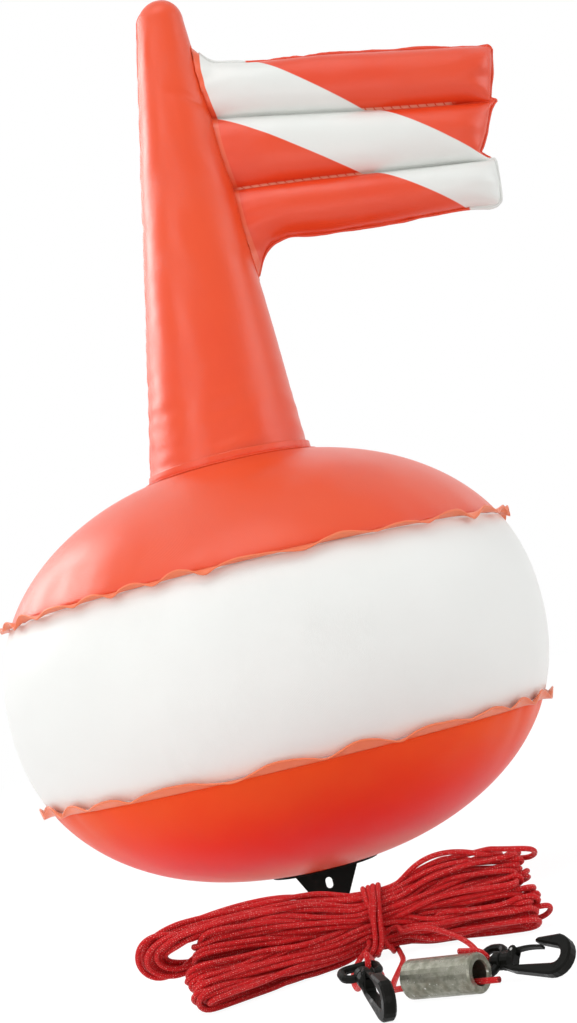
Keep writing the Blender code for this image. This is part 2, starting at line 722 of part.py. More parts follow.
def build_tether(ring_height, cap_height, clear, collection):
    """Make the strap that holds the plug: a ring round the stem and a band that bends up to the cap."""
    inner = VALVE_STEM_RADIUS + TETHER_RING_CLEARANCE
    outer = inner + TETHER_RING_WALL
    half = TETHER_RING_HEIGHT / 2.0
    side = PLUG_CAP_RADIUS + GAP
    route = [
        (0.0, -outer, ring_height),
        (0.0, -outer - TETHER_STUB, ring_height - TETHER_RING_TAPER),
        (0.0, -TETHER_REACH, ring_height + TETHER_BEND_RISE),
        (0.0, -TETHER_REACH + TETHER_THICKNESS, cap_height - TETHER_THICKNESS * 0.8),
        (0.0, -side - TETHER_THICKNESS * 1.3, cap_height),
        (0.0, -side, cap_height),
    ]
    path = evenly(smooth_curve(route), TETHER_SPACING)
    strap = build_strap("valve_tether", path, TETHER_WIDTH, TETHER_THICKNESS, clear, collection)
    profile = [
        (outer, ring_height + half), (outer, ring_height - half),
        (inner + TETHER_RING_TAPER, ring_height - half), (inner, ring_height + half),
    ]
    ring = taken_mesh(turned("tether_ring", profile, VALVE_SEGMENTS, clear, collection, closed=True))
    return boolean(strap, link_mesh("tether_ring", ring, clear, collection), "UNION")


def build_strap(name, path, width, thickness, material, collection):
    """Extrude a flat strap along a path in the local YZ plane."""
    work = bmesh.new()
    upper = []
    for index, point in enumerate(path):
        ahead = path[min(index + 1, len(path) - 1)] - path[max(index - 1, 0)]
        normal = Vector((0.0, -ahead.z, ahead.y)).normalized() * (thickness / 2.0)
        across = Vector((width / 2.0, 0.0, 0.0))
        upper.append([work.verts.new(point + normal - across), work.verts.new(point + normal + across),
                      work.verts.new(point - normal + across), work.verts.new(point - normal - across)])
    for one, two in zip(upper, upper[1:]):
        for side in range(4):
            other = (side + 1) % 4
            work.faces.new((one[side], one[other], two[other], two[side]))
    work.faces.new(upper[0])
    work.faces.new(reversed(upper[-1]))
    bmesh.ops.recalc_face_normals(work, faces=work.faces)
    return link_mesh(name, mesh_from(name, work), material, collection)


def arc(centre, radius, start, end, steps):
    """Points on an arc, its ends included."""
    points = []
    for step in range(steps + 1):
        angle = math.radians(start + (end - start) * step / steps)
        points.append((centre[0] + radius * math.cos(angle), centre[1] + radius * math.sin(angle)))
    return points


def mouth_bottom():
    """Local Y of the mouth's low side, along the hook's spine."""
    return -MOUTH_HEIGHT * MOUTH_DROP


def nose_top():
    """Local Y of the top of the nose's tip."""
    mouth_radius = MOUTH_HEIGHT / 2.0
    return mouth_bottom() + mouth_radius + (mouth_radius + NOSE_WIDTH) * NOSE_TIP_RISE


def hook_outline():
    """Outline of the hook in its own plane: collar block, spine, nose and the ears' block."""
    mouth_low = mouth_bottom()
    mouth_radius = MOUTH_HEIGHT / 2.0
    nose_centre = (HOOK_LENGTH - NOSE_WIDTH - mouth_radius, mouth_low + mouth_radius)
    spine_low = mouth_low - SPINE_WIDTH
    block_start = COLLAR_LENGTH * 0.35
    tip_top = nose_top()
    outline = [(block_start, spine_low * 0.52), (COLLAR_LENGTH * 1.1, spine_low * 0.72)]
    outline += arc(nose_centre, mouth_radius + NOSE_WIDTH, -96.0, 78.0, 11)
    outline += [(NOSE_TIP_X + HOOK_EDGE_ROUND * 1.1, tip_top), (NOSE_TIP_X, tip_top - NOSE_TIP_DEPTH * 0.43),
                (NOSE_TIP_X + NOSE_TIP_DEPTH * 0.1, tip_top - NOSE_TIP_DEPTH)]
    outline += list(reversed(arc(nose_centre, mouth_radius, -90.0, 62.0, 7)))
    outline += [(COLLAR_LENGTH * 1.17, mouth_low), (COLLAR_LENGTH * 1.06, mouth_low * 0.68)]
    outline += [(PIVOT_X + EAR_RADIUS, PIVOT_Y - EAR_RADIUS * 0.67)]
    outline += arc((PIVOT_X, PIVOT_Y), EAR_RADIUS, 0.0, 180.0, 6)
    outline += [(block_start, 0.0)]
    return outline


def build_hook_body(name, material, collection):
    """Join the flat hook to its turned collar and swivel post, then cut the gate's slot and pin hole."""
    mesh = flat_plate(name, [hook_outline()], HOOK_THICKNESS)
    work = bmesh.new()
    work.from_mesh(mesh)
    bmesh.ops.dissolve_limit(work, angle_limit=math.radians(1.0), verts=work.verts, edges=work.edges)
    rims = [edge for edge in work.edges if edge.calc_face_angle(0.0) > math.radians(60.0)
            and abs(abs(edge.verts[0].co.z) - HOOK_THICKNESS / 2.0) < MERGE
            and abs(edge.verts[0].co.z - edge.verts[1].co.z) < MERGE]
    bmesh.ops.bevel(work, geom=rims, offset=HOOK_EDGE_ROUND, offset_type="OFFSET", segments=1, profile=0.5,
                    affect="EDGES", clamp_overlap=True, material=-1)
    work.to_mesh(mesh)
    work.free()
    body = link_mesh(name, mesh, material, collection)

    head_top = -EYE_BOSS_LENGTH - GAP
    post_profile = [
        (0.0, COLLAR_LENGTH), (COLLAR_RADIUS * COLLAR_NOSE_SHARE, COLLAR_LENGTH),
        (COLLAR_RADIUS, COLLAR_LENGTH * COLLAR_NOSE_SHARE), (COLLAR_RADIUS, COLLAR_EDGE_LENGTH),
        (COLLAR_RADIUS - COLLAR_EDGE, GAP), (POST_RADIUS, GAP), (POST_RADIUS, head_top),
        (POST_HEAD_RADIUS, head_top - POST_HEAD_EDGE),
        (POST_HEAD_RADIUS * POST_HEAD_TAPER, head_top - POST_HEAD_LENGTH), (0.0, head_top - POST_HEAD_LENGTH),
    ]
    post = taken_mesh(turned("post", post_profile, HOOK_SEGMENTS, material, collection))
    post.transform(Matrix.Rotation(math.pi / 2.0, 4, "Y"))
    boolean(body, link_mesh("post", post, material, collection), "UNION")

    work = bmesh.new()
    bmesh.ops.create_cube(work, size=1.0)
    depth = GATE_KNUCKLE_RADIUS + 2.0 * GAP
    bmesh.ops.scale(work, verts=work.verts, vec=(2.0 * EAR_RADIUS + SLOT_MARGIN, 2.0 * depth + SLOT_MARGIN,
                                                 GATE_WIDTH + 2.0 * GATE_SIDE_CLEARANCE))
    bmesh.ops.translate(work, verts=work.verts, vec=(PIVOT_X + SLOT_SHIFT[0], PIVOT_Y + SLOT_SHIFT[1], 0.0))
    boolean(body, link_mesh("slot", mesh_from("slot", work), material, collection), "DIFFERENCE")
    boolean(body, pin_rod("pin_hole", PIN_RADIUS + PIN_CLEARANCE, HOOK_THICKNESS * 1.5, material, collection,
                          (PIVOT_X, PIVOT_Y, 0.0)), "DIFFERENCE")
    set_smooth(body.data)
    return body


def pin_rod(name, radius, length, material, collection, at):
    """Make a short round rod along local Z."""
    work = bmesh.new()
    bmesh.ops.create_cone(work, cap_ends=True, segments=PIN_SEGMENTS, radius1=radius, radius2=radius, depth=length)
    bmesh.ops.translate(work, verts=work.verts, vec=at)
    return link_mesh(name, mesh_from(name, work), material, collection)


def build_gate(name, material, collection):
    """Make the gate in its pivot's frame: a bowed tongue on a round knuckle, bored for its pin."""
    tip_y = nose_top() - NOSE_TIP_DEPTH - GAP - GATE_THICKNESS - GATE_TIP_EASE
    reach = Vector((NOSE_TIP_X + GATE_TIP_LAP - PIVOT_X, tip_y - PIVOT_Y))
    knuckle = arc((0.0, 0.0), GATE_KNUCKLE_RADIUS, 60.0, 330.0, 9)
    along = reach.normalized()
    normal = Vector((-along.y, along.x))
    top, bottom = [], []
    for step in range(1, GATE_STEPS + 1):
        share = step / GATE_STEPS
        centre = reach * share + normal * GATE_BOW * math.sin(math.pi * share)
        half = GATE_THICKNESS / 2.0 * (GATE_ROOT_SHARE + (1.0 - GATE_ROOT_SHARE) * share)
        top.append(tuple(centre + normal * half))
        bottom.append(tuple(centre - normal * half))
    outline = knuckle + bottom + list(reversed(top))
    mesh = flat_plate(name, [outline], GATE_WIDTH)
    gate = link_mesh(name, mesh, material, collection)
    boolean(gate, pin_rod("gate_bore", PIN_RADIUS + PIN_CLEARANCE, GATE_WIDTH * 2.0, material, collection,
                          (0.0, 0.0, 0.0)), "DIFFERENCE")
    set_smooth(gate.data)
    return gate


def build_eye(name, material, collection):
    """Make the eye: a rounded rectangular ring of round bar with a bored boss for the swivel post."""
    half_width = EYE_WIDTH / 2.0 - EYE_BAR_RADIUS
    low = -EYE_BAR_RADIUS
    high = -EYE_HEIGHT + EYE_BAR_RADIUS
    corner = EYE_CORNER
    centres = [(low - corner, half_width - corner, 0.0), (high + corner, half_width - corner, 90.0),
               (high + corner, -half_width + corner, 180.0), (low - corner, -half_width + corner, 270.0)]
    path = []
    for x, y, start in centres:
        path += arc((x, y), corner, start, start + 90.0, EYE_CORNER_STEPS)
    ring = tube(name, [(x, y, 0.0) for x, y in path], EYE_BAR_RADIUS, 2, material, collection)
    ring.data.splines[0].use_cyclic_u = True
    eye = link_mesh(name, taken_mesh(ring), material, collection)
    edge = EYE_BOSS_EDGE
    boss_profile = [
        (0.0, 0.0), (EYE_BOSS_RADIUS - edge, 0.0), (EYE_BOSS_RADIUS, -edge),
        (EYE_BOSS_RADIUS, -EYE_BOSS_LENGTH + edge), (EYE_BOSS_RADIUS - edge, -EYE_BOSS_LENGTH),
        (0.0, -EYE_BOSS_LENGTH),
    ]
    boss = taken_mesh(turned("boss", boss_profile, HOOK_SEGMENTS, material, collection))
    boss.transform(Matrix.Rotation(math.pi / 2.0, 4, "Y"))
    boolean(eye, link_mesh("boss", boss, material, collection), "UNION")
    work = bmesh.new()
    bmesh.ops.create_cone(work, cap_ends=True, segments=HOOK_SEGMENTS, radius1=POST_RADIUS + POST_CLEARANCE,
                          radius2=POST_RADIUS + POST_CLEARANCE, depth=EYE_BOSS_LENGTH * 3.0)
    bmesh.ops.rotate(work, verts=work.verts, cent=(0.0, 0.0, 0.0), matrix=Matrix.Rotation(math.pi / 2.0, 3, "Y"))
    boolean(eye, link_mesh("bore", mesh_from("bore", work), material, collection), "DIFFERENCE")
    set_smooth(eye.data)
    return eye


def hook_frame(at, height, heading, dip):
    """World frame of a hook: local X runs from the eye to the nose."""
    return (Matrix.Translation((at[0], at[1], height)) @ Matrix.Rotation(heading, 4, "Z")
            @ Matrix.Rotation(dip, 4, "Y"))


def build_hook(side, at, heading, dip, roll, eye_roll, material, collection):
    """Make one snap hook and lay it on the floor."""
    empty = add_empty(f"{side}_hook_frame", hook_frame(at, 0.0, heading, dip), collection)
    body = build_hook_body(f"{side}_hook_body", material, collection)
    eye = build_eye(f"{side}_hook_eye", material, collection)
    gate = build_gate(f"{side}_hook_gate", material, collection)
    pin = pin_rod(f"{side}_hook_gate_pin", PIN_RADIUS, HOOK_THICKNESS - 2.0 * PIN_RECESS, material, collection,
                  (0.0, 0.0, 0.0))
    roll_turn = Matrix.Rotation(roll, 4, "X")
    pivot = roll_turn @ Matrix.Translation((PIVOT_X, PIVOT_Y, 0.0))
    for piece, local in ((body, roll_turn), (eye, Matrix.Rotation(eye_roll, 4, "X")), (gate, pivot), (pin, pivot)):
        piece.parent = empty
        piece.matrix_local = local
    bpy.context.view_layer.update()
    lowest = min((piece.matrix_world @ vertex.co).z for piece in (body, eye, gate) for vertex in piece.data.vertices)
    empty.location.z -= lowest
    return empty


def build_weight(material, collection):
    """Make the bored weight and lay it on its side."""
    half = WEIGHT_LENGTH / 2.0
    outer, bore, edge = WEIGHT_RADIUS, WEIGHT_BORE_RADIUS, WEIGHT_CHAMFER
    profile = [(outer - edge, half), (outer, half - edge), (outer, -half + edge), (outer - edge, -half),
               (bore + edge / 2.0, -half), (bore, -half + edge), (bore, half - edge), (bore + edge / 2.0, half)]
    mesh = taken_mesh(turned("line_weight", profile, WEIGHT_SEGMENTS, material, collection, closed=True))
    mesh.transform(Matrix.Rotation(math.pi / 2.0, 4, "Y"))
    set_smooth(mesh)
    weight = link_mesh("line_weight", mesh, material, collection)
    weight.matrix_world = (Matrix.Translation((WEIGHT_AT[0], WEIGHT_AT[1], outer))
                           @ Matrix.Rotation(WEIGHT_HEADING, 4, "Z"))
    return weight


def hank_base(share):
    """Height of the hank's lowest strand: the waist is lifted clear of the tie under it."""
    lift = (CORD_DIAMETER + CORD_CLEARANCE) * (1.0 - share ** HANK_EASE_POWER)
    return CORD_DIAMETER / 2.0 + CORD_CLEARANCE / 2.0 + lift


def hank_warp(run, across, up):
    """Place a point of the flat hank: fanned out from the waist, lifted in layers and bent forward."""
    past = run - WAIST_X
    share = min(1.0, abs(past) / (HANK_HALF_RUN + HANK_END_MARGIN - math.copysign(WAIST_X, past)))
    fan = 1.0 + HANK_FAN_SPREAD * share ** HANK_EASE_POWER
    lift = 1.0 + HANK_FAN_LIFT * share ** HANK_EASE_POWER
    y = HANK_CENTRE_Y - across * fan - HANK_BEND * share ** 2
    return Vector((run, y, hank_base(share) + up * lift))


def loop_place(phase, radius):
    """Point of a long loop at a phase: the front run, the right end, the back run and the left end."""
    half = HANK_HALF_RUN
    run_share = RUN_POINTS / POINTS_A_LOOP
    phase = (phase + run_share / 2.0) % 1.0
    if phase < run_share:
        return -half + 2.0 * half * phase / run_share, radius
    if phase < 0.5:
        angle = math.pi * (phase - run_share) / (0.5 - run_share)
        return half + radius * math.sin(angle), radius * math.cos(angle)
    if phase < 0.5 + run_share:
        return half - 2.0 * half * (phase - 0.5) / run_share, -radius
    angle = math.pi * (phase - 0.5 - run_share) / (0.5 - run_share)
    return -half - radius * math.sin(angle), -radius * math.cos(angle)


def hank_points():
    """Centre line of the hank: loops spiral in and out, and climb a layer as the spiral turns back."""
    turns = LOOPS_A_LAYER
    points = []
    for layer in range(HANK_LAYERS):
        last = layer == HANK_LAYERS - 1
        for step in range(turns * POINTS_A_LOOP + (1 + HANK_OUTER_STEPS if last else 0)):
            turn = step / POINTS_A_LOOP
            share = turn / (turns - REVERSAL)
            wound = turns * (share if last else min(1.0, share))
            loops_in = turns - wound if layer % 2 == 0 else wound
            radius = HANK_INNER_RADIUS + HANK_STEP * loops_in
            up = HANK_LAYER_STEP * layer
            if not last:
                climb = max(0.0, turn - (turns - REVERSAL)) / REVERSAL
                up += HANK_LAYER_STEP * (1.0 - math.cos(math.pi * climb)) / 2.0
            points.append(hank_warp(*loop_place(turn, radius), up))
    return points


def tie_points():
    """Centre line of the tie: turns round the waist, up the front, over the top and back beneath."""
    offset = CORD_DIAMETER + CORD_CLEARANCE
    outer_turns = (LOOPS_A_LAYER + HANK_OUTER_STEPS / POINTS_A_LOOP) / (LOOPS_A_LAYER - REVERSAL)
    half_width = HANK_INNER_RADIUS + HANK_STEP * LOOPS_A_LAYER * outer_turns
    span = TIE_PITCH * TIE_TURNS
    edge = WAIST_X + span / 2.0
    front = min(hank_warp(x, half_width, 0.0).y for x in (WAIST_X, edge))
    back = max(hank_warp(x, -half_width, 0.0).y for x in (WAIST_X, edge))
    low = hank_warp(edge, 0.0, 0.0).z
    high = hank_warp(edge, 0.0, HANK_LAYER_STEP * (HANK_LAYERS - 1)).z
    corners = [(front, high, 180.0), (back, high, 90.0), (back, low, 0.0), (front, low, -90.0)]
    section = []
    for y, z, start in corners:
        section.append(arc((y, z), offset, start, start - 90.0, TIE_CORNER_STEPS))
    section_points = [point for corner in section for point in corner]
    start_point = (front - offset, low - offset + CORD_DIAMETER / 2.0 + TIE_START_RISE)
    end_point = (front + CORD_DIAMETER, low - offset)
    path = [start_point] + section_points * TIE_TURNS
    path = path[:-(TIE_CORNER_STEPS + 1)] + [end_point]
    lengths = [0.0]
    for one, two in zip(path, path[1:]):
        lengths.append(lengths[-1] + math.dist(one, two))
    start = WAIST_X - span / 2.0
    return [Vector((start + span * length / lengths[-1], y, z)) for length, (y, z) in zip(lengths, path)]


def eye_frame(empty, eye_roll):
    """World frame of a hook's eye."""
    return empty.matrix_world @ Matrix.Rotation(eye_roll, 4, "X")


def loop_round_bar(frame, side, tail=0.0):
    """Points of a cord round the eye's far bar, up through the slot and over, with a tail if one is given."""
    bar_x = -EYE_HEIGHT + EYE_BAR_RADIUS
    reach = EYE_BAR_RADIUS + CORD_DIAMETER / 2.0 + HITCH_CLEARANCE
    points = []
    for angle, lean in HITCH_TURNS:
        turn = math.radians(angle)
        across = side + lean * CORD_DIAMETER * HITCH_LEAN
        points.append(frame @ Vector((bar_x + reach * math.cos(turn), across, reach * math.sin(turn))))
    if tail:
        points.append(frame @ Vector((bar_x - tail, side + CORD_DIAMETER * HITCH_TAIL_LEAN, reach)))
    return points


def least_gap(points, diameter, apart):
    """Least gap of a cord to itself, between places at least a given length of cord apart."""
    table = np.array([tuple(point) for point in points])
    marks = np.arange(len(table))
    fine = np.arange(0.0, len(table) - 1.0, 0.125)
    places = np.stack([np.interp(fine, marks, table[:, axis]) for axis in range(3)], axis=1)
    steps = np.sqrt((np.diff(places, axis=0) ** 2).sum(axis=1))
    along = np.concatenate([[0.0], np.cumsum(steps)])
    least = 1.0
    for place, mark in zip(places, along):
        far = places[np.abs(along - mark) > apart]
        least = min(least, float(((far - place) ** 2).sum(axis=1).min()))
    return math.sqrt(least) - diameter


def straight_end(before, end):
    """First two points of a cord that carries on from another's end: a gap away, then straight for a diameter."""
    along = (end - before).normalized()
    first = end + along * GAP
    return [first, first + along * CORD_DIAMETER]


def cord_run(name, route, rope, collection):
    """Lay a free stretch of cord along a smooth curve through its route, straight at both ends."""
    middle = smooth_curve(route)[CURVE_STEPS:-CURVE_STEPS]
    points = [route[0]] + thinned(middle, ROUTE_SPACING, ROUTE_TURN) + [route[-1]]
    return tube(name, points, CORD_DIAMETER / 2.0, 2, rope, collection)


def build_line(collection, rope, left_hook, right_hook):
    """Make the hank, its tie and the free stretches to the two hooks and the weight."""
    hank = hank_points()
    print("hank least gap to itself in mm:", round(1000.0 * least_gap(hank, CORD_DIAMETER, SELF_GAP_APART), 3))
    tube("line_hank", hank, CORD_DIAMETER / 2.0, 1, rope, collection)
    tie = tie_points()
    print("tie least gap to itself in mm:", round(1000.0 * least_gap(tie, CORD_DIAMETER, SELF_GAP_APART), 3))
    tube("hank_tie", tie, CORD_DIAMETER / 2.0, 1, rope, collection)

    tie_start = straight_end(tie[1], tie[0])
    bar = loop_round_bar(eye_frame(left_hook, LEFT_EYE_ROLL), LEFT_HITCH_SIDE)
    left = straight_end(hank[1], hank[0]) + [Vector(point) for point in LEFT_LEAD_OUT] + bar
    left += [Vector(point) for point in LEFT_LEAD_BACK] + tie_start[::-1]
    cord_run("left_hook_lead", left, rope, collection)

    axis = Matrix.Rotation(WEIGHT_HEADING, 3, "Z") @ Vector((1.0, 0.0, 0.0))
    on_bore = WEIGHT_RADIUS - WEIGHT_BORE_RADIUS + CORD_DIAMETER / 2.0 + CORD_CLEARANCE / 2.0
    centre = Vector((*WEIGHT_AT, on_bore))
    half = WEIGHT_LENGTH / 2.0
    weight = straight_end(tie[-2], tie[-1]) + [Vector(point) for point in WEIGHT_LEAD]
    weight += [centre - axis * (half + WEIGHT_LEAD_STRAIGHT), centre - axis * half * 0.5, centre + axis * half * 0.5,
               centre + axis * (half + STUB_LENGTH)]
    cord_run("weight_lead", weight, rope, collection)

    bar = loop_round_bar(eye_frame(right_hook, RIGHT_EYE_ROLL), RIGHT_HITCH_SIDE, RIGHT_TAIL_LENGTH)
    right = straight_end(hank[-2], hank[-1]) + [Vector(point) for point in RIGHT_LEAD] + bar
    cord_run("right_hook_lead", right, rope, collection)


def clear_scene():
    """Remove what the scene holds."""
    for obj in list(bpy.data.objects):
        bpy.data.objects.remove(obj)


clear_scene()
PARTS = new_collection(OBJECT_NAME)
CUTTERS = new_collection("cutters")
ORANGE_PVC = make_material("orange_pvc", (0.84, 0.115, 0.05), 0.38)
WHITE_PVC = make_material("white_pvc", (0.86, 0.87, 0.85), 0.40)
BLACK_PVC = make_material("black_pvc", (0.012, 0.012, 0.011), 0.55)
CLEAR_PVC = make_material("valve_pvc", (0.80, 0.78, 0.72), 0.35)
BLACK_PLASTIC = make_material("black_plastic", (0.016, 0.016, 0.014), 0.42)
GALVANISED = make_material("galvanised_steel", (0.40, 0.39, 0.34), 0.42, 0.9)
RED_ROPE = make_material("red_rope", (0.58, 0.014, 0.02), 0.75)

upper_dome = build_float(PARTS, ORANGE_PVC, WHITE_PVC)
build_flange("upper_seam_flange", UPPER_SEAM_HEIGHT, UPPER_FLANGE_WIDTH, UPPER_FLANGE_DROOP, UPPER_FLANGE_RUFFLE,
             UPPER_FLANGE_WAVES, ORANGE_PVC, PARTS)
build_flange("lower_seam_flange", LOWER_SEAM_HEIGHT, LOWER_FLANGE_WIDTH, LOWER_FLANGE_DROOP, LOWER_FLANGE_RUFFLE,
             LOWER_FLANGE_WAVES, ORANGE_PVC, PARTS)
build_mast(PARTS, ORANGE_PVC)
build_flag_sheet("flag_front_sheet", -1.0, ORANGE_PVC, PARTS)
build_flag_sheet("flag_back_sheet", 1.0, ORANGE_PVC, PARTS)
build_keel(PARTS, BLACK_PVC)
build_valve(PARTS, CUTTERS, upper_dome, CLEAR_PVC)
left_hook = build_hook("left", LEFT_HOOK_AT, LEFT_HOOK_HEADING, LEFT_HOOK_DIP, LEFT_HOOK_ROLL, LEFT_EYE_ROLL,
                       BLACK_PLASTIC, PARTS)
right_hook = build_hook("right", RIGHT_HOOK_AT, RIGHT_HOOK_HEADING, RIGHT_HOOK_DIP, RIGHT_HOOK_ROLL,
                        RIGHT_EYE_ROLL, BLACK_PLASTIC, PARTS)
build_weight(GALVANISED, PARTS)
bpy.context.view_layer.update()
build_line(PARTS, RED_ROPE, left_hook, right_hook)
bpy.context.view_layer.update()
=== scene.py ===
"""Fine shapes and finishes of an inflatable dive buoy and its line set.

Run inside Blender 4.5. Lengths are in metres, +Z is up, and the keel tab's foot stands at the origin.
"""

import logging
import math
from dataclasses import dataclass
from enum import Enum
from typing import Callable, Iterable, Sequence

import bmesh
import bpy
import numpy as np
from mathutils import Matrix, Vector, kdtree, noise


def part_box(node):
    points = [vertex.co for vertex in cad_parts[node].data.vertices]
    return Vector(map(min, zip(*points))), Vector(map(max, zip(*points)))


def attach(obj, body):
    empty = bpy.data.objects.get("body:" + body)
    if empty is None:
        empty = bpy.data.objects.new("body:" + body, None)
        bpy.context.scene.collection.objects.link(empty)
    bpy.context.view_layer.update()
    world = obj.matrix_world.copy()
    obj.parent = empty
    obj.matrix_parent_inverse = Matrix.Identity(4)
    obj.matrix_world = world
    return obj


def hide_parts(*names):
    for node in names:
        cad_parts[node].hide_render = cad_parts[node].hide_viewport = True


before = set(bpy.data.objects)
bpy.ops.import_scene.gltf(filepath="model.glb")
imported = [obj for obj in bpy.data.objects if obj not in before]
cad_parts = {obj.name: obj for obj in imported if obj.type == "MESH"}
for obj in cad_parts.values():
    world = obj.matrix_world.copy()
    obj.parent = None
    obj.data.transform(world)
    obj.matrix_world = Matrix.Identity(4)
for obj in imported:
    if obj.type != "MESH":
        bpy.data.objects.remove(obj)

LOG = logging.getLogger("dive_buoy")
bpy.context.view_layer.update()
FLOAT_BODY = "float"
GAP = 0.0003
TINY = 1e-6
SKIN_DEPTH = 0.00001
# Scale of the painted highlight flecks on the cord's strands.
BRAID_HIGHLIGHT_SCALE = 0.62

Pair = tuple[float, float]
Triple = tuple[float, float, float]
Profile = Sequence[Pair]
Colour = Triple


class Slot(Enum):
    """Material slots of the pieces that are made here."""

    ORANGE = "orange_pvc"
    WHITE = "white_pvc"
    ROPE = "red_rope"


class NodeDesk:
    """Places and links the nodes of one material or node group."""

    def __init__(self, tree: bpy.types.NodeTree) -> None:
        """Start on an emptied tree."""
        self.tree = tree
        tree.nodes.clear()

    def add(self, kind: str, **settings: object) -> bpy.types.Node:
        """Add one node.

        Args:
            kind: The node's type.
            settings: Attributes to set on it.

        Returns:
            The new node.
        """
        node = self.tree.nodes.new(kind)
        for name, value in settings.items():
            setattr(node, name, value)
        return node

    def feed(self, socket: bpy.types.NodeSocket, value: object) -> None:
        """Link an output to a socket, or set the socket's own value.

        Args:
            socket: The socket to feed.
            value: An output, or a value of the socket's kind.
        """
        if isinstance(value, bpy.types.NodeSocket):
            self.tree.links.new(value, socket)
        else:
            socket.default_value = value

    def maths(self, operation: str, *values: object) -> bpy.types.NodeSocket:
        """Add a Math node.

        Args:
            operation: The node's operation.
            values: Numbers or outputs, in the order of its sockets.

        Returns:
            Its output.
        """
        node = self.add("ShaderNodeMath", operation=operation)
        for socket, value in zip(node.inputs, values):
            self.feed(socket, value)
        return node.outputs[0]

    def fill(self, node: bpy.types.Node, **values: object) -> None:
        """Feed a node's inputs by name, with underscores for spaces."""
        for name, value in values.items():
            self.feed(node.inputs[name.replace("_", " ")], value)

    def times(self, one: object, two: object) -> bpy.types.NodeSocket:
        """Multiply two values."""
        return self.maths("MULTIPLY", one, two)

    def split(self, vector: object) -> tuple[bpy.types.NodeSocket, ...]:
        """Separate a vector into its three parts.

        Args:
            vector: The vector's output.

        Returns:
            Its X, Y and Z.
        """
        node = self.add("ShaderNodeSeparateXYZ")
        self.feed(node.inputs[0], vector)
        return tuple(node.outputs)

    def ramp(self, value: object, low: float, high: float, start: float = 0.0,
             end: float = 1.0) -> bpy.types.NodeSocket:
        """Map a value smoothly from one range to another.

        Args:
            value: The output to map.
            low: Value that gives start.
            high: Value that gives end.
            start: Result at low.
            end: Result at high.

        Returns:
            The mapped output.
        """
        node = self.add("ShaderNodeMapRange", interpolation_type="SMOOTHSTEP")
        for socket, number in zip(node.inputs, (value, low, high, start, end)):
            self.feed(socket, number)
        return node.outputs[0]

    def mix(self, share: object, one: object, two: object) -> bpy.types.NodeSocket:
        """Mix two colours.

        Args:
            share: How much of the second colour shows.
            one: First colour, as RGB numbers or an output.
            two: Second colour.

        Returns:
            The mixed colour.
        """
        node = self.add("ShaderNodeMix", data_type="RGBA")
        self.feed(node.inputs[0], share)
        for socket, colour in ((node.inputs[6], one), (node.inputs[7], two)):
            self.feed(socket, (*colour, 1.0) if isinstance(colour, tuple) else colour)
        return node.outputs[2]

    def grain(self, vector: object, scale: object, detail: float = 2.0,
              rough: float = 0.5) -> bpy.types.NodeSocket:
        """Add a noise texture.

        Args:
            vector: Where the noise is read.
            scale: Its scale.
            detail: Its octaves.
            rough: Share of the finer octaves.

        Returns:
            Its value output.
        """
        node = self.add("ShaderNodeTexNoise")
        self.fill(node, Vector=vector, Scale=scale, Detail=detail, Roughness=rough)
        return node.outputs[0]

    def group(self, tree: bpy.types.NodeTree, **values: object) -> bpy.types.Node:
        """Add a node group.

        Args:
            tree: The group's tree.
            values: Its inputs by name, with underscores for spaces.

        Returns:
            The group node.
        """
        node = self.add("ShaderNodeGroup", node_tree=tree)
        self.fill(node, **values)
        return node


def new_group(name: str, inputs: dict[str, str], outputs: dict[str, str]) -> tuple[NodeDesk, dict, dict]:
    """Start a shader node group.

    Args:
        name: The group's name.
        inputs: Kind of each input socket by name.
        outputs: Kind of each output socket by name.

    Returns:
        The desk, the group's inputs as outputs to read, and its outputs as sockets to feed.
    """
    tree = bpy.data.node_groups.new(name, "ShaderNodeTree")
    for side, sockets in (("INPUT", inputs), ("OUTPUT", outputs)):
        for label, kind in sockets.items():
            tree.interface.new_socket(label, in_out=side, socket_type=f"NodeSocket{kind}")
    desk = NodeDesk(tree)
    given = desk.add("NodeGroupInput").outputs
    wanted = desk.add("NodeGroupOutput").inputs
    return desk, {label: given[label] for label in inputs}, {label: wanted[label] for label in outputs}


def film_group() -> bpy.types.NodeTree:
    """Build the surface of welded film: a fine scrim under a satin skin, with soft creases.

    Returns:
        A group that puts out a height in metres and a mottle.
    """
    desk, given, wanted = new_group(
        "film_surface",
        {"Cloth": "Vector", "Place": "Vector", "Thread": "Float", "Weave Depth": "Float", "Crease Depth": "Float"},
        {"Height": "Float", "Mottle": "Float"})
    place = given["Place"]
    rate = desk.maths("DIVIDE", math.tau, given["Thread"])
    warp, weft = (desk.maths("SINE", desk.times(way, rate)) for way in desk.split(given["Cloth"])[:2])
    patchy = desk.ramp(desk.grain(place, scale=24.0, detail=1.0), low=0.35, high=0.70, start=0.35)
    weave = desk.times(desk.times(warp, weft), given["Weave Depth"])
    crease = desk.times(desk.grain(place, scale=13.0, detail=1.0, rough=0.45), given["Crease Depth"])
    fine = desk.times(desk.grain(place, scale=420.0, detail=1.0), SKIN_DEPTH)
    desk.feed(wanted["Height"], desk.maths("ADD", desk.times(weave, patchy), desk.maths("ADD", crease, fine)))
    desk.feed(wanted["Mottle"], desk.grain(place, scale=9.0, detail=4.0, rough=0.6))
    return desk.tree


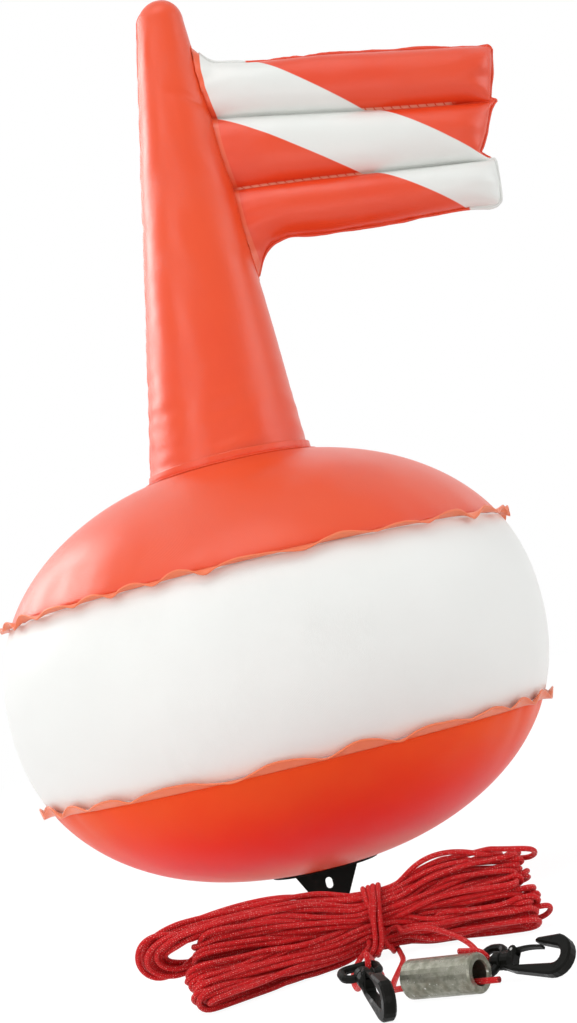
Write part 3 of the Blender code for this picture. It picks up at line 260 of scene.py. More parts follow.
def braid_group() -> bpy.types.NodeTree:
    """Build the surface of braided cord, read along and around it.

    Returns:
        A group that puts out a height in metres, painted shade for the hollows between the strands, and painted
        highlight flecks on the strand crowns.
    """
    desk, given, wanted = new_group(
        "cord_braid",
        {"Along": "Float", "Around": "Float", "Pitch": "Float", "Strands": "Float", "Depth": "Float"},
        {"Height": "Float", "HollowShade": "Float", "FleckHighlight": "Float"})
    run = desk.times(desk.maths("DIVIDE", given["Along"], given["Pitch"]), math.tau)
    turn = desk.times(desk.times(given["Around"], given["Strands"]), math.tau)
    one, two = (desk.maths("SINE", desk.maths(way, run, turn)) for way in ("ADD", "SUBTRACT"))
    plait = desk.times(desk.maths("ADD", desk.maths("ABSOLUTE", one), desk.maths("ABSOLUTE", two)), 0.5)
    desk.feed(wanted["Height"], desk.times(plait, given["Depth"]))
    # Painted shade: a mask that darkens the hollows between the strands.
    desk.feed(wanted["HollowShade"], desk.ramp(plait, low=0.15, high=0.60, start=1.0, end=0.0))
    # Painted highlight: pale flecks on the strand crowns, where the braid catches the light.
    spot = desk.add("ShaderNodeCombineXYZ")
    desk.fill(spot, X=desk.times(run, BRAID_HIGHLIGHT_SCALE), Y=desk.times(turn, BRAID_HIGHLIGHT_SCALE))
    highlight_speck = desk.ramp(desk.grain(spot.outputs[0], scale=1.0, detail=1.0), low=0.52, high=0.64)
    crossing = desk.ramp(desk.times(one, two), low=0.15, high=0.60)
    desk.feed(wanted["FleckHighlight"], desk.times(highlight_speck, crossing))
    return desk.tree


def worn_group() -> bpy.types.NodeTree:
    """Build light handling wear for moulded and metal pieces.

    Returns:
        A group that puts out a height in metres, rubbed places and fine scratches.
    """
    desk, given, wanted = new_group(
        "handling_wear", {"Place": "Vector", "Size": "Float", "Depth": "Float"},
        {"Height": "Float", "Rubbed": "Float", "Scratch": "Float"})
    coarse = desk.grain(given["Place"], scale=desk.maths("DIVIDE", 1.0, given["Size"]), detail=5.0)
    stretched = desk.add("ShaderNodeMapping")
    desk.fill(stretched, Vector=given["Place"], Rotation=(0.3, 0.5, 0.9), Scale=(90.0, 900.0, 700.0))
    lines = desk.grain(stretched.outputs[0], scale=1.0, detail=2.0, rough=0.6)
    desk.feed(wanted["Height"], desk.times(coarse, given["Depth"]))
    desk.feed(wanted["Rubbed"], desk.ramp(coarse, low=0.50, high=0.68))
    desk.feed(wanted["Scratch"], desk.ramp(lines, low=0.66, high=0.76))
    return desk.tree


FILM = film_group()
BRAID = braid_group()
WORN = worn_group()


def new_material(name: str) -> tuple[bpy.types.Material, NodeDesk, bpy.types.Node]:
    """Start a material on a Principled shader.

    Args:
        name: The material's name.

    Returns:
        The material, its desk and its shader.
    """
    material = bpy.data.materials.new(name)
    material.use_nodes = True
    desk = NodeDesk(material.node_tree)
    shader = desk.add("ShaderNodeBsdfPrincipled")
    desk.fill(desk.add("ShaderNodeOutputMaterial"), Surface=shader.outputs[0])
    return material, desk, shader


def add_bump(desk: NodeDesk, shader: bpy.types.Node, height: bpy.types.NodeSocket) -> None:
    """Feed the shader's normal from a height in metres.

    Args:
        desk: The material's desk.
        shader: Its Principled shader.
        height: The height.
    """
    bump = desk.add("ShaderNodeBump")
    desk.fill(bump, Distance=1.0, Height=height)
    desk.fill(shader, Normal=bump.outputs[0])


@dataclass(frozen=True)
class FilmFinish:
    """Welded PVC film. Colours are linear. The deep colour serves the random mottle and, where a shade band is
    given, painted shade low on the panel.
    """

    name: str
    colour: Colour
    deep_and_shade: Colour
    roughness: float = 0.31
    thread: float = 0.0011
    weave_depth: float = 0.00005
    crease_depth: float = 0.0035
    gloss: float = 0.30
    # Painted shade band: the heights over which the deep colour is painted in as shade, its share, and the foot
    # below which it fades.
    painted_shade_band: Pair | None = None
    painted_shade_share: float = 0.0
    painted_shade_foot: float = 0.0

    def surface(self, desk: NodeDesk) -> tuple[bpy.types.Node, bpy.types.NodeSocket, bpy.types.NodeSocket]:
        """Place the film's own nodes.

        Args:
            desk: The material's desk.

        Returns:
            The film group, the place that it reads and the film's colour.
        """
        place = desk.add("ShaderNodeTexCoord").outputs["Object"]
        cloth = desk.add("ShaderNodeUVMap", uv_map="film").outputs[0]
        film = desk.group(FILM, Cloth=cloth, Place=place, Thread=self.thread, Weave_Depth=self.weave_depth,
                          Crease_Depth=self.crease_depth)
        mottle = desk.ramp(film.outputs["Mottle"], low=0.35, high=0.75, end=0.35)
        colour = desk.mix(mottle, self.colour, self.deep_and_shade)
        # Painted shade: the film turns deep red in a band low on the panel, where the underside of the float lies
        # in shade.
        if self.painted_shade_band:
            level = desk.split(place)[2]
            low = desk.ramp(level, *self.painted_shade_band, start=self.painted_shade_share, end=0.0)
            foot = desk.ramp(level, self.painted_shade_foot, self.painted_shade_band[0])
            colour = desk.mix(desk.times(low, foot), colour, self.deep_and_shade)
        return film, place, colour

    def build(self) -> bpy.types.Material:
        """Make the material.

        Returns:
            The material.
        """
        material, desk, shader = new_material(self.name)
        film, _, colour = self.surface(desk)
        self.finish(desk, shader, colour, film.outputs["Height"])
        return material

    def finish(self, desk: NodeDesk, shader: bpy.types.Node, colour: bpy.types.NodeSocket,
               height: bpy.types.NodeSocket) -> None:
        """Feed the shader.

        Args:
            desk: The material's desk.
            shader: Its Principled shader.
            colour: The surface's colour.
            height: The surface's height in metres.
        """
        desk.fill(shader, Base_Color=colour, Roughness=self.roughness, Specular_IOR_Level=self.gloss)
        add_bump(desk, shader, height)


@dataclass(frozen=True)
class FlagFinish(FilmFinish):
    """Film of the flag: a white diagonal stripe in the orange, and dashed weld marks on the orange."""

    white: Colour = (0.80, 0.815, 0.785)
    upper_start: Pair = (0.0779, 0.5826)
    upper_end: Pair = (0.2294, 0.4771)
    lower_start: Pair = (0.0375, 0.5526)
    lower_end: Pair = (0.2046, 0.4476)
    mark: Colour = (1.0, 0.55, 0.40)
    dash: float = 0.0060
    mark_width: Pair = (0.0012, 0.0017)
    mark_start: Pair = (0.048, 0.052)
    mark_end: Pair = (0.205, 0.212)
    mark_slant: float = 1.2
    mark_share: float = 0.85
    mark_depth: float = 0.00012
    strip: Colour = (0.86, 0.17, 0.075)
    strip_width: float = 0.0034
    strip_share: float = 0.6
    edge: float = 0.0004

    @staticmethod
    def above(desk: NodeDesk, x: bpy.types.NodeSocket, flat: bpy.types.NodeSocket, start: Pair,
              end: Pair) -> bpy.types.NodeSocket:
        """Signed height above a line in the flat cloth.

        Args:
            desk: The material's desk.
            x: Place along X.
            flat: Height in the flat cloth.
            start: One point of the line.
            end: Another point of it.

        Returns:
            The height above the line, in metres.
        """
        slope = (end[1] - start[1]) / (end[0] - start[0])
        level = desk.maths("MULTIPLY_ADD", x, slope, start[1] - slope * start[0])
        return desk.maths("SUBTRACT", flat, level)

    def build(self) -> bpy.types.Material:
        """Make the material.

        Returns:
            The material.
        """
        material, desk, shader = new_material(self.name)
        film, place, colour = self.surface(desk)
        x, edge = desk.split(place)[0], self.edge
        weld, off, flat = desk.split(desk.add("ShaderNodeAttribute", attribute_name="lie").outputs["Vector"])
        under = desk.ramp(self.above(desk, x, flat, self.upper_start, self.upper_end), -edge, edge, 1.0, 0.0)
        over = desk.ramp(self.above(desk, x, flat, self.lower_start, self.lower_end), -edge, edge)
        strip = desk.ramp(off, self.strip_width, self.strip_width + edge, 1.0, 0.0)
        stripe = desk.times(desk.times(under, over), desk.maths("SUBTRACT", 1.0, strip))
        near_weld = desk.ramp(weld, *self.mark_width, start=1.0, end=0.0)
        dashes = desk.maths("PINGPONG", desk.maths("ADD", x, desk.times(weld, self.mark_slant)), self.dash / 2.0)
        solid = desk.ramp(dashes, self.dash * 0.05, self.dash * 0.10)
        inside = desk.times(desk.ramp(x, *self.mark_start), desk.ramp(x, *self.mark_end, start=1.0, end=0.0))
        mark = desk.times(desk.times(near_weld, solid), inside)
        colour = desk.mix(desk.times(strip, self.strip_share), colour, self.strip)
        colour = desk.mix(desk.times(mark, self.mark_share), colour, self.mark)
        colour = desk.mix(stripe, colour, self.white)
        height = desk.maths("MULTIPLY_ADD", mark, -self.mark_depth, film.outputs["Height"])
        self.finish(desk, shader, colour, height)
        return material


@dataclass(frozen=True)
class CordFinish:
    """Braided cord."""
    # Braided cord, with painted shade in the hollows between its strands and painted highlight flecks on their
    # crowns.

    name: str = "braided_cord"
    colour: Colour = (0.72, 0.012, 0.015)
    # Painted shade colour for the hollows between the strands.
    hollow_shade: Colour = (0.16, 0.002, 0.003)
    # Painted highlight colour of the flecks on the strand crowns.
    fleck_highlight: Colour = (1.0, 0.50, 0.45)
    pitch: float = 0.0028
    strands: float = 4.0
    depth: float = 0.00030
    shade: float = 0.72
    hollow_shade_share: float = 0.75
    fleck_highlight_share: float = 0.85
    fuzz_depth: float = 0.00006
    roughness: float = 0.50

    def build(self) -> bpy.types.Material:
        """Make the material.

        Returns:
            The material.
        """
        material, desk, shader = new_material(self.name)
        along, around, _ = desk.split(desk.add("ShaderNodeUVMap", uv_map="cord").outputs[0])
        place = desk.add("ShaderNodeTexCoord").outputs["Object"]
        braid = desk.group(BRAID, Along=along, Around=around, Pitch=self.pitch, Strands=self.strands,
                           Depth=self.depth).outputs
        tone = desk.ramp(desk.grain(place, scale=55.0, detail=3.0), low=0.35, high=0.70, end=0.45)
        colour = desk.mix(tone, self.colour, tuple(self.shade * part for part in self.colour))
        # Painted shade in the hollows between the strands.
        colour = desk.mix(desk.times(braid["HollowShade"], self.hollow_shade_share), colour, self.hollow_shade)
        # Painted highlight flecks on the strand crowns.
        colour = desk.mix(desk.times(braid["FleckHighlight"], self.fleck_highlight_share), colour, self.fleck_highlight)
        fuzz = desk.times(desk.grain(place, scale=1900.0), self.fuzz_depth)
        add_bump(desk, shader, desk.maths("ADD", braid["Height"], fuzz))
        desk.fill(shader, Base_Color=colour, Roughness=self.roughness, Specular_IOR_Level=0.15, Sheen_Weight=0.04,
                  Sheen_Roughness=0.4, Sheen_Tint=(1.0, 0.55, 0.5, 1.0))
        return material


@dataclass(frozen=True)
class MouldedFinish:
    """Moulded plastic or rubber sheet."""

    name: str
    colour: Colour
    rubbed: Colour
    roughness: float
    grain_depth: float = 0.00003
    wear: float = 0.5
    scuff: float = 1.6
    coat: float = 0.0
    transmission: float = 0.0
    gloss: float = 0.25

    def build(self) -> bpy.types.Material:
        """Make the material.

        Returns:
            The material.
        """
        material, desk, shader = new_material(self.name)
        place = desk.add("ShaderNodeTexCoord").outputs["Object"]
        worn = desk.group(WORN, Place=place, Size=0.006, Depth=0.0001).outputs
        colour = desk.mix(desk.times(worn["Rubbed"], self.wear), self.colour, self.rubbed)
        bright = tuple(self.scuff * part for part in self.rubbed)
        colour = desk.mix(desk.times(worn["Scratch"], self.wear), colour, bright)
        matt = desk.ramp(worn["Rubbed"], 0.0, 1.0, self.roughness + 0.10, self.roughness - 0.06)
        fine = desk.times(desk.grain(place, scale=1500.0), self.grain_depth)
        add_bump(desk, shader, desk.maths("ADD", worn["Height"], fine))
        desk.fill(shader, Base_Color=colour, Roughness=matt, Specular_IOR_Level=self.gloss, Coat_Weight=self.coat,
                  Coat_Roughness=0.15, Transmission_Weight=self.transmission, IOR=1.5)
        return material


@dataclass(frozen=True)
class ZincFinish:
    """Galvanised steel with mottled grey patches and bright scratches."""

    name: str = "galvanised_zinc"
    pale: Colour = (0.29, 0.285, 0.235)
    dark: Colour = (0.17, 0.17, 0.13)
    brown: Colour = (0.16, 0.13, 0.09)
    roughness: float = 0.34
    bright: Colour = (0.85, 0.85, 0.82)

    def build(self) -> bpy.types.Material:
        """Make the material.

        Returns:
            The material.
        """
        material, desk, shader = new_material(self.name)
        place = desk.add("ShaderNodeTexCoord").outputs["Object"]
        worn = desk.group(WORN, Place=place, Size=0.0035, Depth=0.00012).outputs
        mottle = desk.grain(place, scale=260.0, detail=3.0, rough=0.55)
        stain = desk.ramp(desk.grain(place, scale=95.0, detail=4.0, rough=0.6), low=0.48, high=0.66)
        colour = desk.mix(desk.ramp(mottle, low=0.35, high=0.68), self.pale, self.dark)
        for mask, share, tint in ((worn["Rubbed"], 0.35, self.dark), (stain, 0.45, self.brown),
                                  (worn["Scratch"], 0.7, self.bright)):
            colour = desk.mix(desk.times(mask, share), colour, tint)
        matt = desk.ramp(mottle, 0.3, 0.7, self.roughness - 0.08, self.roughness + 0.10)
        desk.fill(shader, Base_Color=colour, Metallic=0.9, Roughness=matt)
        add_bump(desk, shader, worn["Height"])
        return material


ORANGE_FILM = FilmFinish("orange_film", (0.83, 0.080, 0.018), (0.79, 0.050, 0.014), gloss=0.45)
# The lower dome's film is a copy of the orange film. It is painted brighter to make up for the weaker light under
# the float, and it has a painted deep-red shade band low down.
LOWER_FILM_PAINTED_SHADE = FilmFinish("orange_film_lower_painted_shade", (0.95, 0.104, 0.022), (0.93, 0.011, 0.012),
                        painted_shade_band=(0.056, 0.108), painted_shade_share=0.92, painted_shade_foot=0.034, gloss=0.05)
WHITE_FILM = FilmFinish("white_film", (0.90, 0.91, 0.885), (0.87, 0.88, 0.855), roughness=0.34)
FLAG_FILM = FlagFinish("flag_film", (0.80, 0.066, 0.016), (0.74, 0.038, 0.012), roughness=0.29, gloss=0.50)
# The flanges' ribbon is a paler, lighter copy of the orange film. It paints in light and sheen against the shade
# that the float throws on the flanges.
RIBBON_FILM_PAINTED_LIGHT = FilmFinish("ribbon_film_painted_light", (0.93, 0.24, 0.115), (0.89, 0.14, 0.058), gloss=0.20)
BLACK_SHEET = MouldedFinish("black_sheet", (0.007, 0.007, 0.006), (0.012, 0.011, 0.010), 0.45, gloss=0.08)
HOOK_PLASTIC = MouldedFinish("hook_plastic", (0.006, 0.006, 0.005), (0.012, 0.011, 0.010), 0.30, gloss=0.08)
VALVE_PLASTIC = MouldedFinish("valve_plastic", (0.86, 0.84, 0.77), (0.80, 0.77, 0.68), 0.28, wear=0.15,
                              coat=0.2, transmission=0.15, gloss=0.5)
PIN_METAL = ZincFinish("pin_metal", (0.62, 0.61, 0.58), (0.45, 0.45, 0.43), (0.4, 0.39, 0.36), 0.25)
ZINC = ZincFinish()
CORD = CordFinish()


class Wardrobe:
    """Materials of the finishes, each built once."""

    def __init__(self) -> None:
        """Start empty."""
        self.made: dict[str, bpy.types.Material] = {}

    def of(self, finish: object) -> bpy.types.Material:
        """Return a finish's material, built at its first use.

        Args:
            finish: The finish.

        Returns:
            Its material.
        """
        if finish.name not in self.made:
            self.made[finish.name] = finish.build()
        return self.made[finish.name]


WARDROBE = Wardrobe()


def put(name: str, data: bpy.types.ID) -> bpy.types.Object:
    """Put an object in the scene.

    Args:
        name: The object's name.
        data: Its data.

    Returns:
        The object.
    """
    item = bpy.data.objects.new(name, data)
    bpy.context.scene.collection.objects.link(item)
    return item


def link_piece(name: str, mesh: bpy.types.Mesh, finish: object, slot: Slot, body: str,
               *nodes: str) -> bpy.types.Object:
    """Put a finished mesh in the scene as a piece of the buoy.

    Args:
        name: The piece's name.
        mesh: Its mesh, in place.
        finish: Its finish.
        slot: The record's slot for the piece; not used.
        body: The body that it rides on.
        nodes: Nodes that it stands for.

    Returns:
        The piece.
    """
    mesh.materials.clear()
    mesh.materials.append(WARDROBE.of(finish))
    piece = put(name, mesh)
    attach(piece, body)
    if nodes:
        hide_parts(*nodes)
    return piece


def mesh_from(work: bmesh.types.BMesh, name: str, sharp: float = 40.0) -> bpy.types.Mesh:
    """Close a bmesh into a smooth mesh.

    Args:
        work: The bmesh, which is freed.
        name: The mesh's name.
        sharp: Angle in degrees past which an edge stays sharp.

    Returns:
        The mesh.
    """
    mesh = bpy.data.meshes.new(name)
    work.to_mesh(mesh)
    work.free()
    mesh.shade_smooth()
    mesh.set_sharp_from_angle(angle=math.radians(sharp))
    return mesh


def spun(profile: Profile, steps: int, closed: bool = False) -> bmesh.types.BMesh:
    """Spin a profile about Z.

    Args:
        profile: Points as radius and height.
        steps: Steps of the full turn.
        closed: True where the profile is a loop.

    Returns:
        The turned surface, facing out.
    """
    work = bmesh.new()
    corners = [work.verts.new((radius, 0.0, height)) for radius, height in profile]
    pairs = list(zip(corners, corners[1:]))
    if closed:
        pairs.append((corners[-1], corners[0]))
    edges = [work.edges.new(pair) for pair in pairs]
    bmesh.ops.spin(work, geom=corners + edges, cent=(0.0, 0.0, 0.0), axis=(0.0, 0.0, 1.0),
                   angle=math.tau, steps=steps, use_merge=True)
    bmesh.ops.remove_doubles(work, verts=work.verts, dist=TINY)
    bmesh.ops.recalc_face_normals(work, faces=work.faces)
    middle = sum(height for _, height in profile) / len(profile)
    centre = Vector((0.0, 0.0, middle))
    outward = sum(face.normal.dot(face.calc_center_median() - centre) * face.calc_area() for face in work.faces)
    if outward < 0.0:
        bmesh.ops.reverse_faces(work, faces=work.faces)
    return work


def add_wall(piece: bpy.types.Object, thickness: float, offset: float = -1.0) -> None:
    """Give an open sheet its thickness.

    Args:
        piece: The sheet.
        thickness: The wall's thickness.
        offset: -1 for a wall inside the sheet, 1 for one outside and 0 for both.
    """
    wall = piece.modifiers.new("wall", "SOLIDIFY")
    wall.thickness = thickness
    wall.offset = offset


def lay_cloth(mesh: bpy.types.Mesh, spot: Callable[[Vector], Pair], turn: float = 0.0) -> None:
    """Lay the film's weave on a mesh.

    Args:
        mesh: The mesh.
        spot: Gives the place in the flat cloth, in metres, of a point.
        turn: Width of the cloth that goes once round, where it closes on itself.
    """
    layer = mesh.uv_layers.new(name="film")
    for face in mesh.polygons:
        spots = [spot(mesh.vertices[mesh.loops[loop].vertex_index].co) for loop in face.loop_indices]
        first = spots[0][0]
        for loop, (along, across) in zip(face.loop_indices, spots):
            if turn and along - first > turn / 2.0:
                along -= turn
            if turn and first - along > turn / 2.0:
                along += turn
            layer.data[loop].uv = (along, across)


def polar(place: Vector) -> Pair:
    """Distance of a point from the Z axis, and its angle round it."""
    return math.hypot(place.x, place.y), math.atan2(place.y, place.x)


def around(angle: float, level: float) -> Vector:
    """Place on a circle of radius 1, where noise closes on itself."""
    return Vector((math.cos(angle), math.sin(angle), level))


@dataclass(frozen=True)
class Ruffle:
    """One gathered weld of the float: its ribbon, and the puckers that it gives the film beside it."""

    name: str
    side: float
    count: int
    phase: float
    droop: float
    height: float
    width: float = 0.0070
    slow_warp: float = 0.090
    quick_warp: float = 0.034
    swell: Triple = (0.75, 1.10, 3.2)
    trough: float = 0.03
    arch: Pair = (1.6, 1.05)

    def wave(self, angle: float, ahead: float = 0.0) -> float:
        """Read the arches, of uneven height and length, that meet in tighter troughs.

        Args:
            angle: Angle round the float.
            ahead: How far the phase runs ahead.

        Returns:
            The wave, about 0 on the whole.
        """
        phase = self.phase + ahead
        slow = angle + self.slow_warp * math.sin(3.0 * angle + phase)
        slow += self.quick_warp * math.sin(7.0 * angle + 2.0 * phase)
        level, spread, scale = self.swell
        swell = level + spread * noise.noise(around(angle, phase) * scale)
        arch = math.sqrt(math.sin(self.count * slow / 2.0 + phase) ** 2 + self.trough)
        return swell * (self.arch[0] * arch - self.arch[1])


RUFFLES = (Ruffle("upper_seam_flange", 1.0, 28, 0.6, 0.0004, 0.0047),
           Ruffle("lower_seam_flange", -1.0, 23, 2.1, 0.0030, 0.0061))


@dataclass
class Float:
    """The inflated body: two domes and a band, welded with two ruffled flanges."""

    power: float = 2.2
    seam: float = 0.0630
    wall: float = 0.0006
    steps: int = 288
    dome_rings: int = 56
    band_rings: int = 46
    pucker: float = 0.0010
    pucker_reach: float = 0.013
    sag: float = 0.0007
    sag_scale: float = 11.0
    pole_calm: float = 0.05
    weld_dip: float = 0.0006
    weld_dip_reach: float = 0.0025
    crease: float = 0.0009
    crease_at: Pair = (-1.99, -0.043)
    crease_reach: Pair = (0.010, 0.018)
    pole: float = 0.0004
    flange_steps: int = 720
    flange_rows: int = 7
    flange_ply: float = 0.0011
    flange_gap: float = 0.0008
    flange_pull: float = 0.0055
    crimps: tuple[Pair, ...] = ((0.0009, 14.0), (0.0002, 48.0))
    valve_opening: float = 0.0085
    valve_reach: float = 0.03

    def __post_init__(self) -> None:
        """Take the float's size from the frame."""
        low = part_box("lower_dome")[0]
        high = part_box("upper_dome")[1]
        self.half_height = (high.z - low.z) / 2.0
        self.centre = (high.z + low.z) / 2.0
        self.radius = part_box("white_band")[1].x

    def point(self, angle: float) -> Pair:
        """Radius and height of the section at a superellipse angle.

        Args:
            angle: The angle, from -90 degrees at the foot to 90 degrees at the top.

        Returns:
            The radius and the height.
        """
        share = 2.0 / self.power
        radius = self.radius * max(0.0, math.cos(angle)) ** share
        height = math.copysign(self.half_height * abs(math.sin(angle)) ** share, angle)
        return (0.0 if radius < self.pole else radius), self.centre + height

    def angle(self, height: float) -> float:
        """Superellipse angle of a height above the centre."""
        share = (abs(height) / self.half_height) ** (self.power / 2.0)
        return math.copysign(math.asin(min(1.0, share)), height)

    def radius_at(self, height: float) -> float:
        """Radius at a height above the centre."""
        return self.point(self.angle(height))[0]

    def height_at(self, radius: float) -> float:
        """Height of the surface above the centre at a radius."""
        share = (radius / self.radius) ** self.power
        return self.half_height * (1.0 - share) ** (1.0 / self.power)

    def section(self, top: float, bottom: float, rings: int) -> list[Pair]:
        """Section points between two heights above the centre."""
        start, end = self.angle(top), self.angle(bottom)
        return [self.point(start + (end - start) * ring / rings) for ring in range(rings + 1)]

    def crumple(self, work: bmesh.types.BMesh) -> None:
        """Pucker a panel along its welds and let it sag a little elsewhere.

        Args:
            work: The panel's bmesh, changed in place.
        """
        work.normal_update()
        moves = []
        for vertex in work.verts:
            place = vertex.co
            radius, angle = polar(place)
            height = place.z - self.centre
            move = self.sag * noise.noise(place * self.sag_scale) * min(1.0, radius / self.pole_calm)
            for ruffle in RUFFLES:
                seam = ruffle.side * self.seam
                past = abs(height - seam)
                fade = math.exp(-past / self.pucker_reach)
                reach = 0.6 + 0.8 * noise.noise(around(angle, seam) * 6.0)
                move += self.pucker * reach * fade * ruffle.wave(angle)
                move -= self.weld_dip * math.exp(-past / self.weld_dip_reach)
            aside, above = ((value - middle) / reach for value, middle, reach in zip(
                (angle, height), self.crease_at, self.crease_reach))
            move -= self.crease * math.exp(-aside ** 2 - above ** 2)
            moves.append((vertex, vertex.normal * move))
        for vertex, move in moves:
            vertex.co += move

    def open_for_valve(self, work: bmesh.types.BMesh) -> None:
        """Leave out the faces that the valve's body fills.

        Args:
            work: The upper dome's bmesh, changed in place.
        """
        seat = Valve().seat(self)
        axis = seat.col[2].xyz
        hidden = []
        for face in work.faces:
            offset = face.calc_center_median() - seat.translation
            aside = (offset - axis * offset.dot(axis)).length
            if aside < self.valve_opening and offset.length < self.valve_reach:
                hidden.append(face)
        bmesh.ops.delete(work, geom=hidden, context="FACES")

    def add_panel(self, name: str, profile: Profile, finish: FilmFinish, slot: Slot) -> bpy.types.Object:
        """Make one panel.

        Args:
            name: The node that it stands for.
            profile: Its section from the top down.
            finish: Its finish.
            slot: Its material slot.

        Returns:
            The panel.
        """
        work = spun(profile, self.steps)
        self.crumple(work)
        if name == "upper_dome":
            self.open_for_valve(work)
        mesh = mesh_from(work, name + "_film")
        if name == "white_band":
            lay_cloth(mesh, lambda place: (polar(place)[1] * self.radius, place.z), math.tau * self.radius)
        else:
            lay_cloth(mesh, lambda place: (place.x * 1.25, place.y * 1.25))
        piece = link_piece(name + "_film", mesh, finish, slot, FLOAT_BODY, name)
        add_wall(piece, self.wall)
        return piece

    def add_flange(self, ruffle: Ruffle) -> bpy.types.Object:
        """Make one ruffled weld flange.

        Args:
            ruffle: Its ruffle, which bears the name of the node that it stands for.

        Returns:
            The flange.
        """
        seam = ruffle.side * self.seam
        inner = self.radius_at(seam) + self.flange_gap
        rows = [(inner + ruffle.width * row / self.flange_rows, self.centre + seam)
                for row in range(self.flange_rows + 1)]
        work = spun(rows, self.flange_steps)
        for vertex in work.verts:
            radius, angle = polar(vertex.co)
            share = max(0.0, (radius - inner) / ruffle.width)
            crimp = sum(depth * noise.noise(around(angle, ruffle.phase) * scale) for depth, scale in self.crimps)
            lift = share ** 1.2 * (ruffle.droop + ruffle.height * ruffle.wave(angle)) + share * crimp
            pull = 1.0 - share * self.flange_pull * (0.5 + 0.5 * ruffle.wave(angle, 1.3)) * 0.6
            vertex.co.x *= pull
            vertex.co.y *= pull
            vertex.co.z += lift
        name = ruffle.name + "_ribbon"
        mesh = mesh_from(work, name)
        lay_cloth(mesh, lambda place: (polar(place)[1] * inner, polar(place)[0]), math.tau * inner)
        piece = link_piece(name, mesh, RIBBON_FILM_PAINTED_LIGHT, Slot.ORANGE, FLOAT_BODY, ruffle.name)
        add_wall(piece, self.flange_ply, 0.0)
        return piece

    def build(self) -> list[bpy.types.Object]:
        """Make the panels and flanges.

        Returns:
            The three panels and both flanges.
        """
        half_gap = GAP / 2.0
        upper = self.section(self.half_height, self.seam + half_gap, self.dome_rings)
        band = self.section(self.seam - half_gap, -self.seam + half_gap, self.band_rings)
        lower = self.section(-self.seam - half_gap, -self.half_height, self.dome_rings)
        return [
            self.add_panel("upper_dome", upper, ORANGE_FILM, Slot.ORANGE),
            self.add_panel("white_band", band, WHITE_FILM, Slot.WHITE),
            self.add_panel("lower_dome", lower, LOWER_FILM_PAINTED_SHADE, Slot.ORANGE),
            *(self.add_flange(ruffle) for ruffle in RUFFLES),
        ]


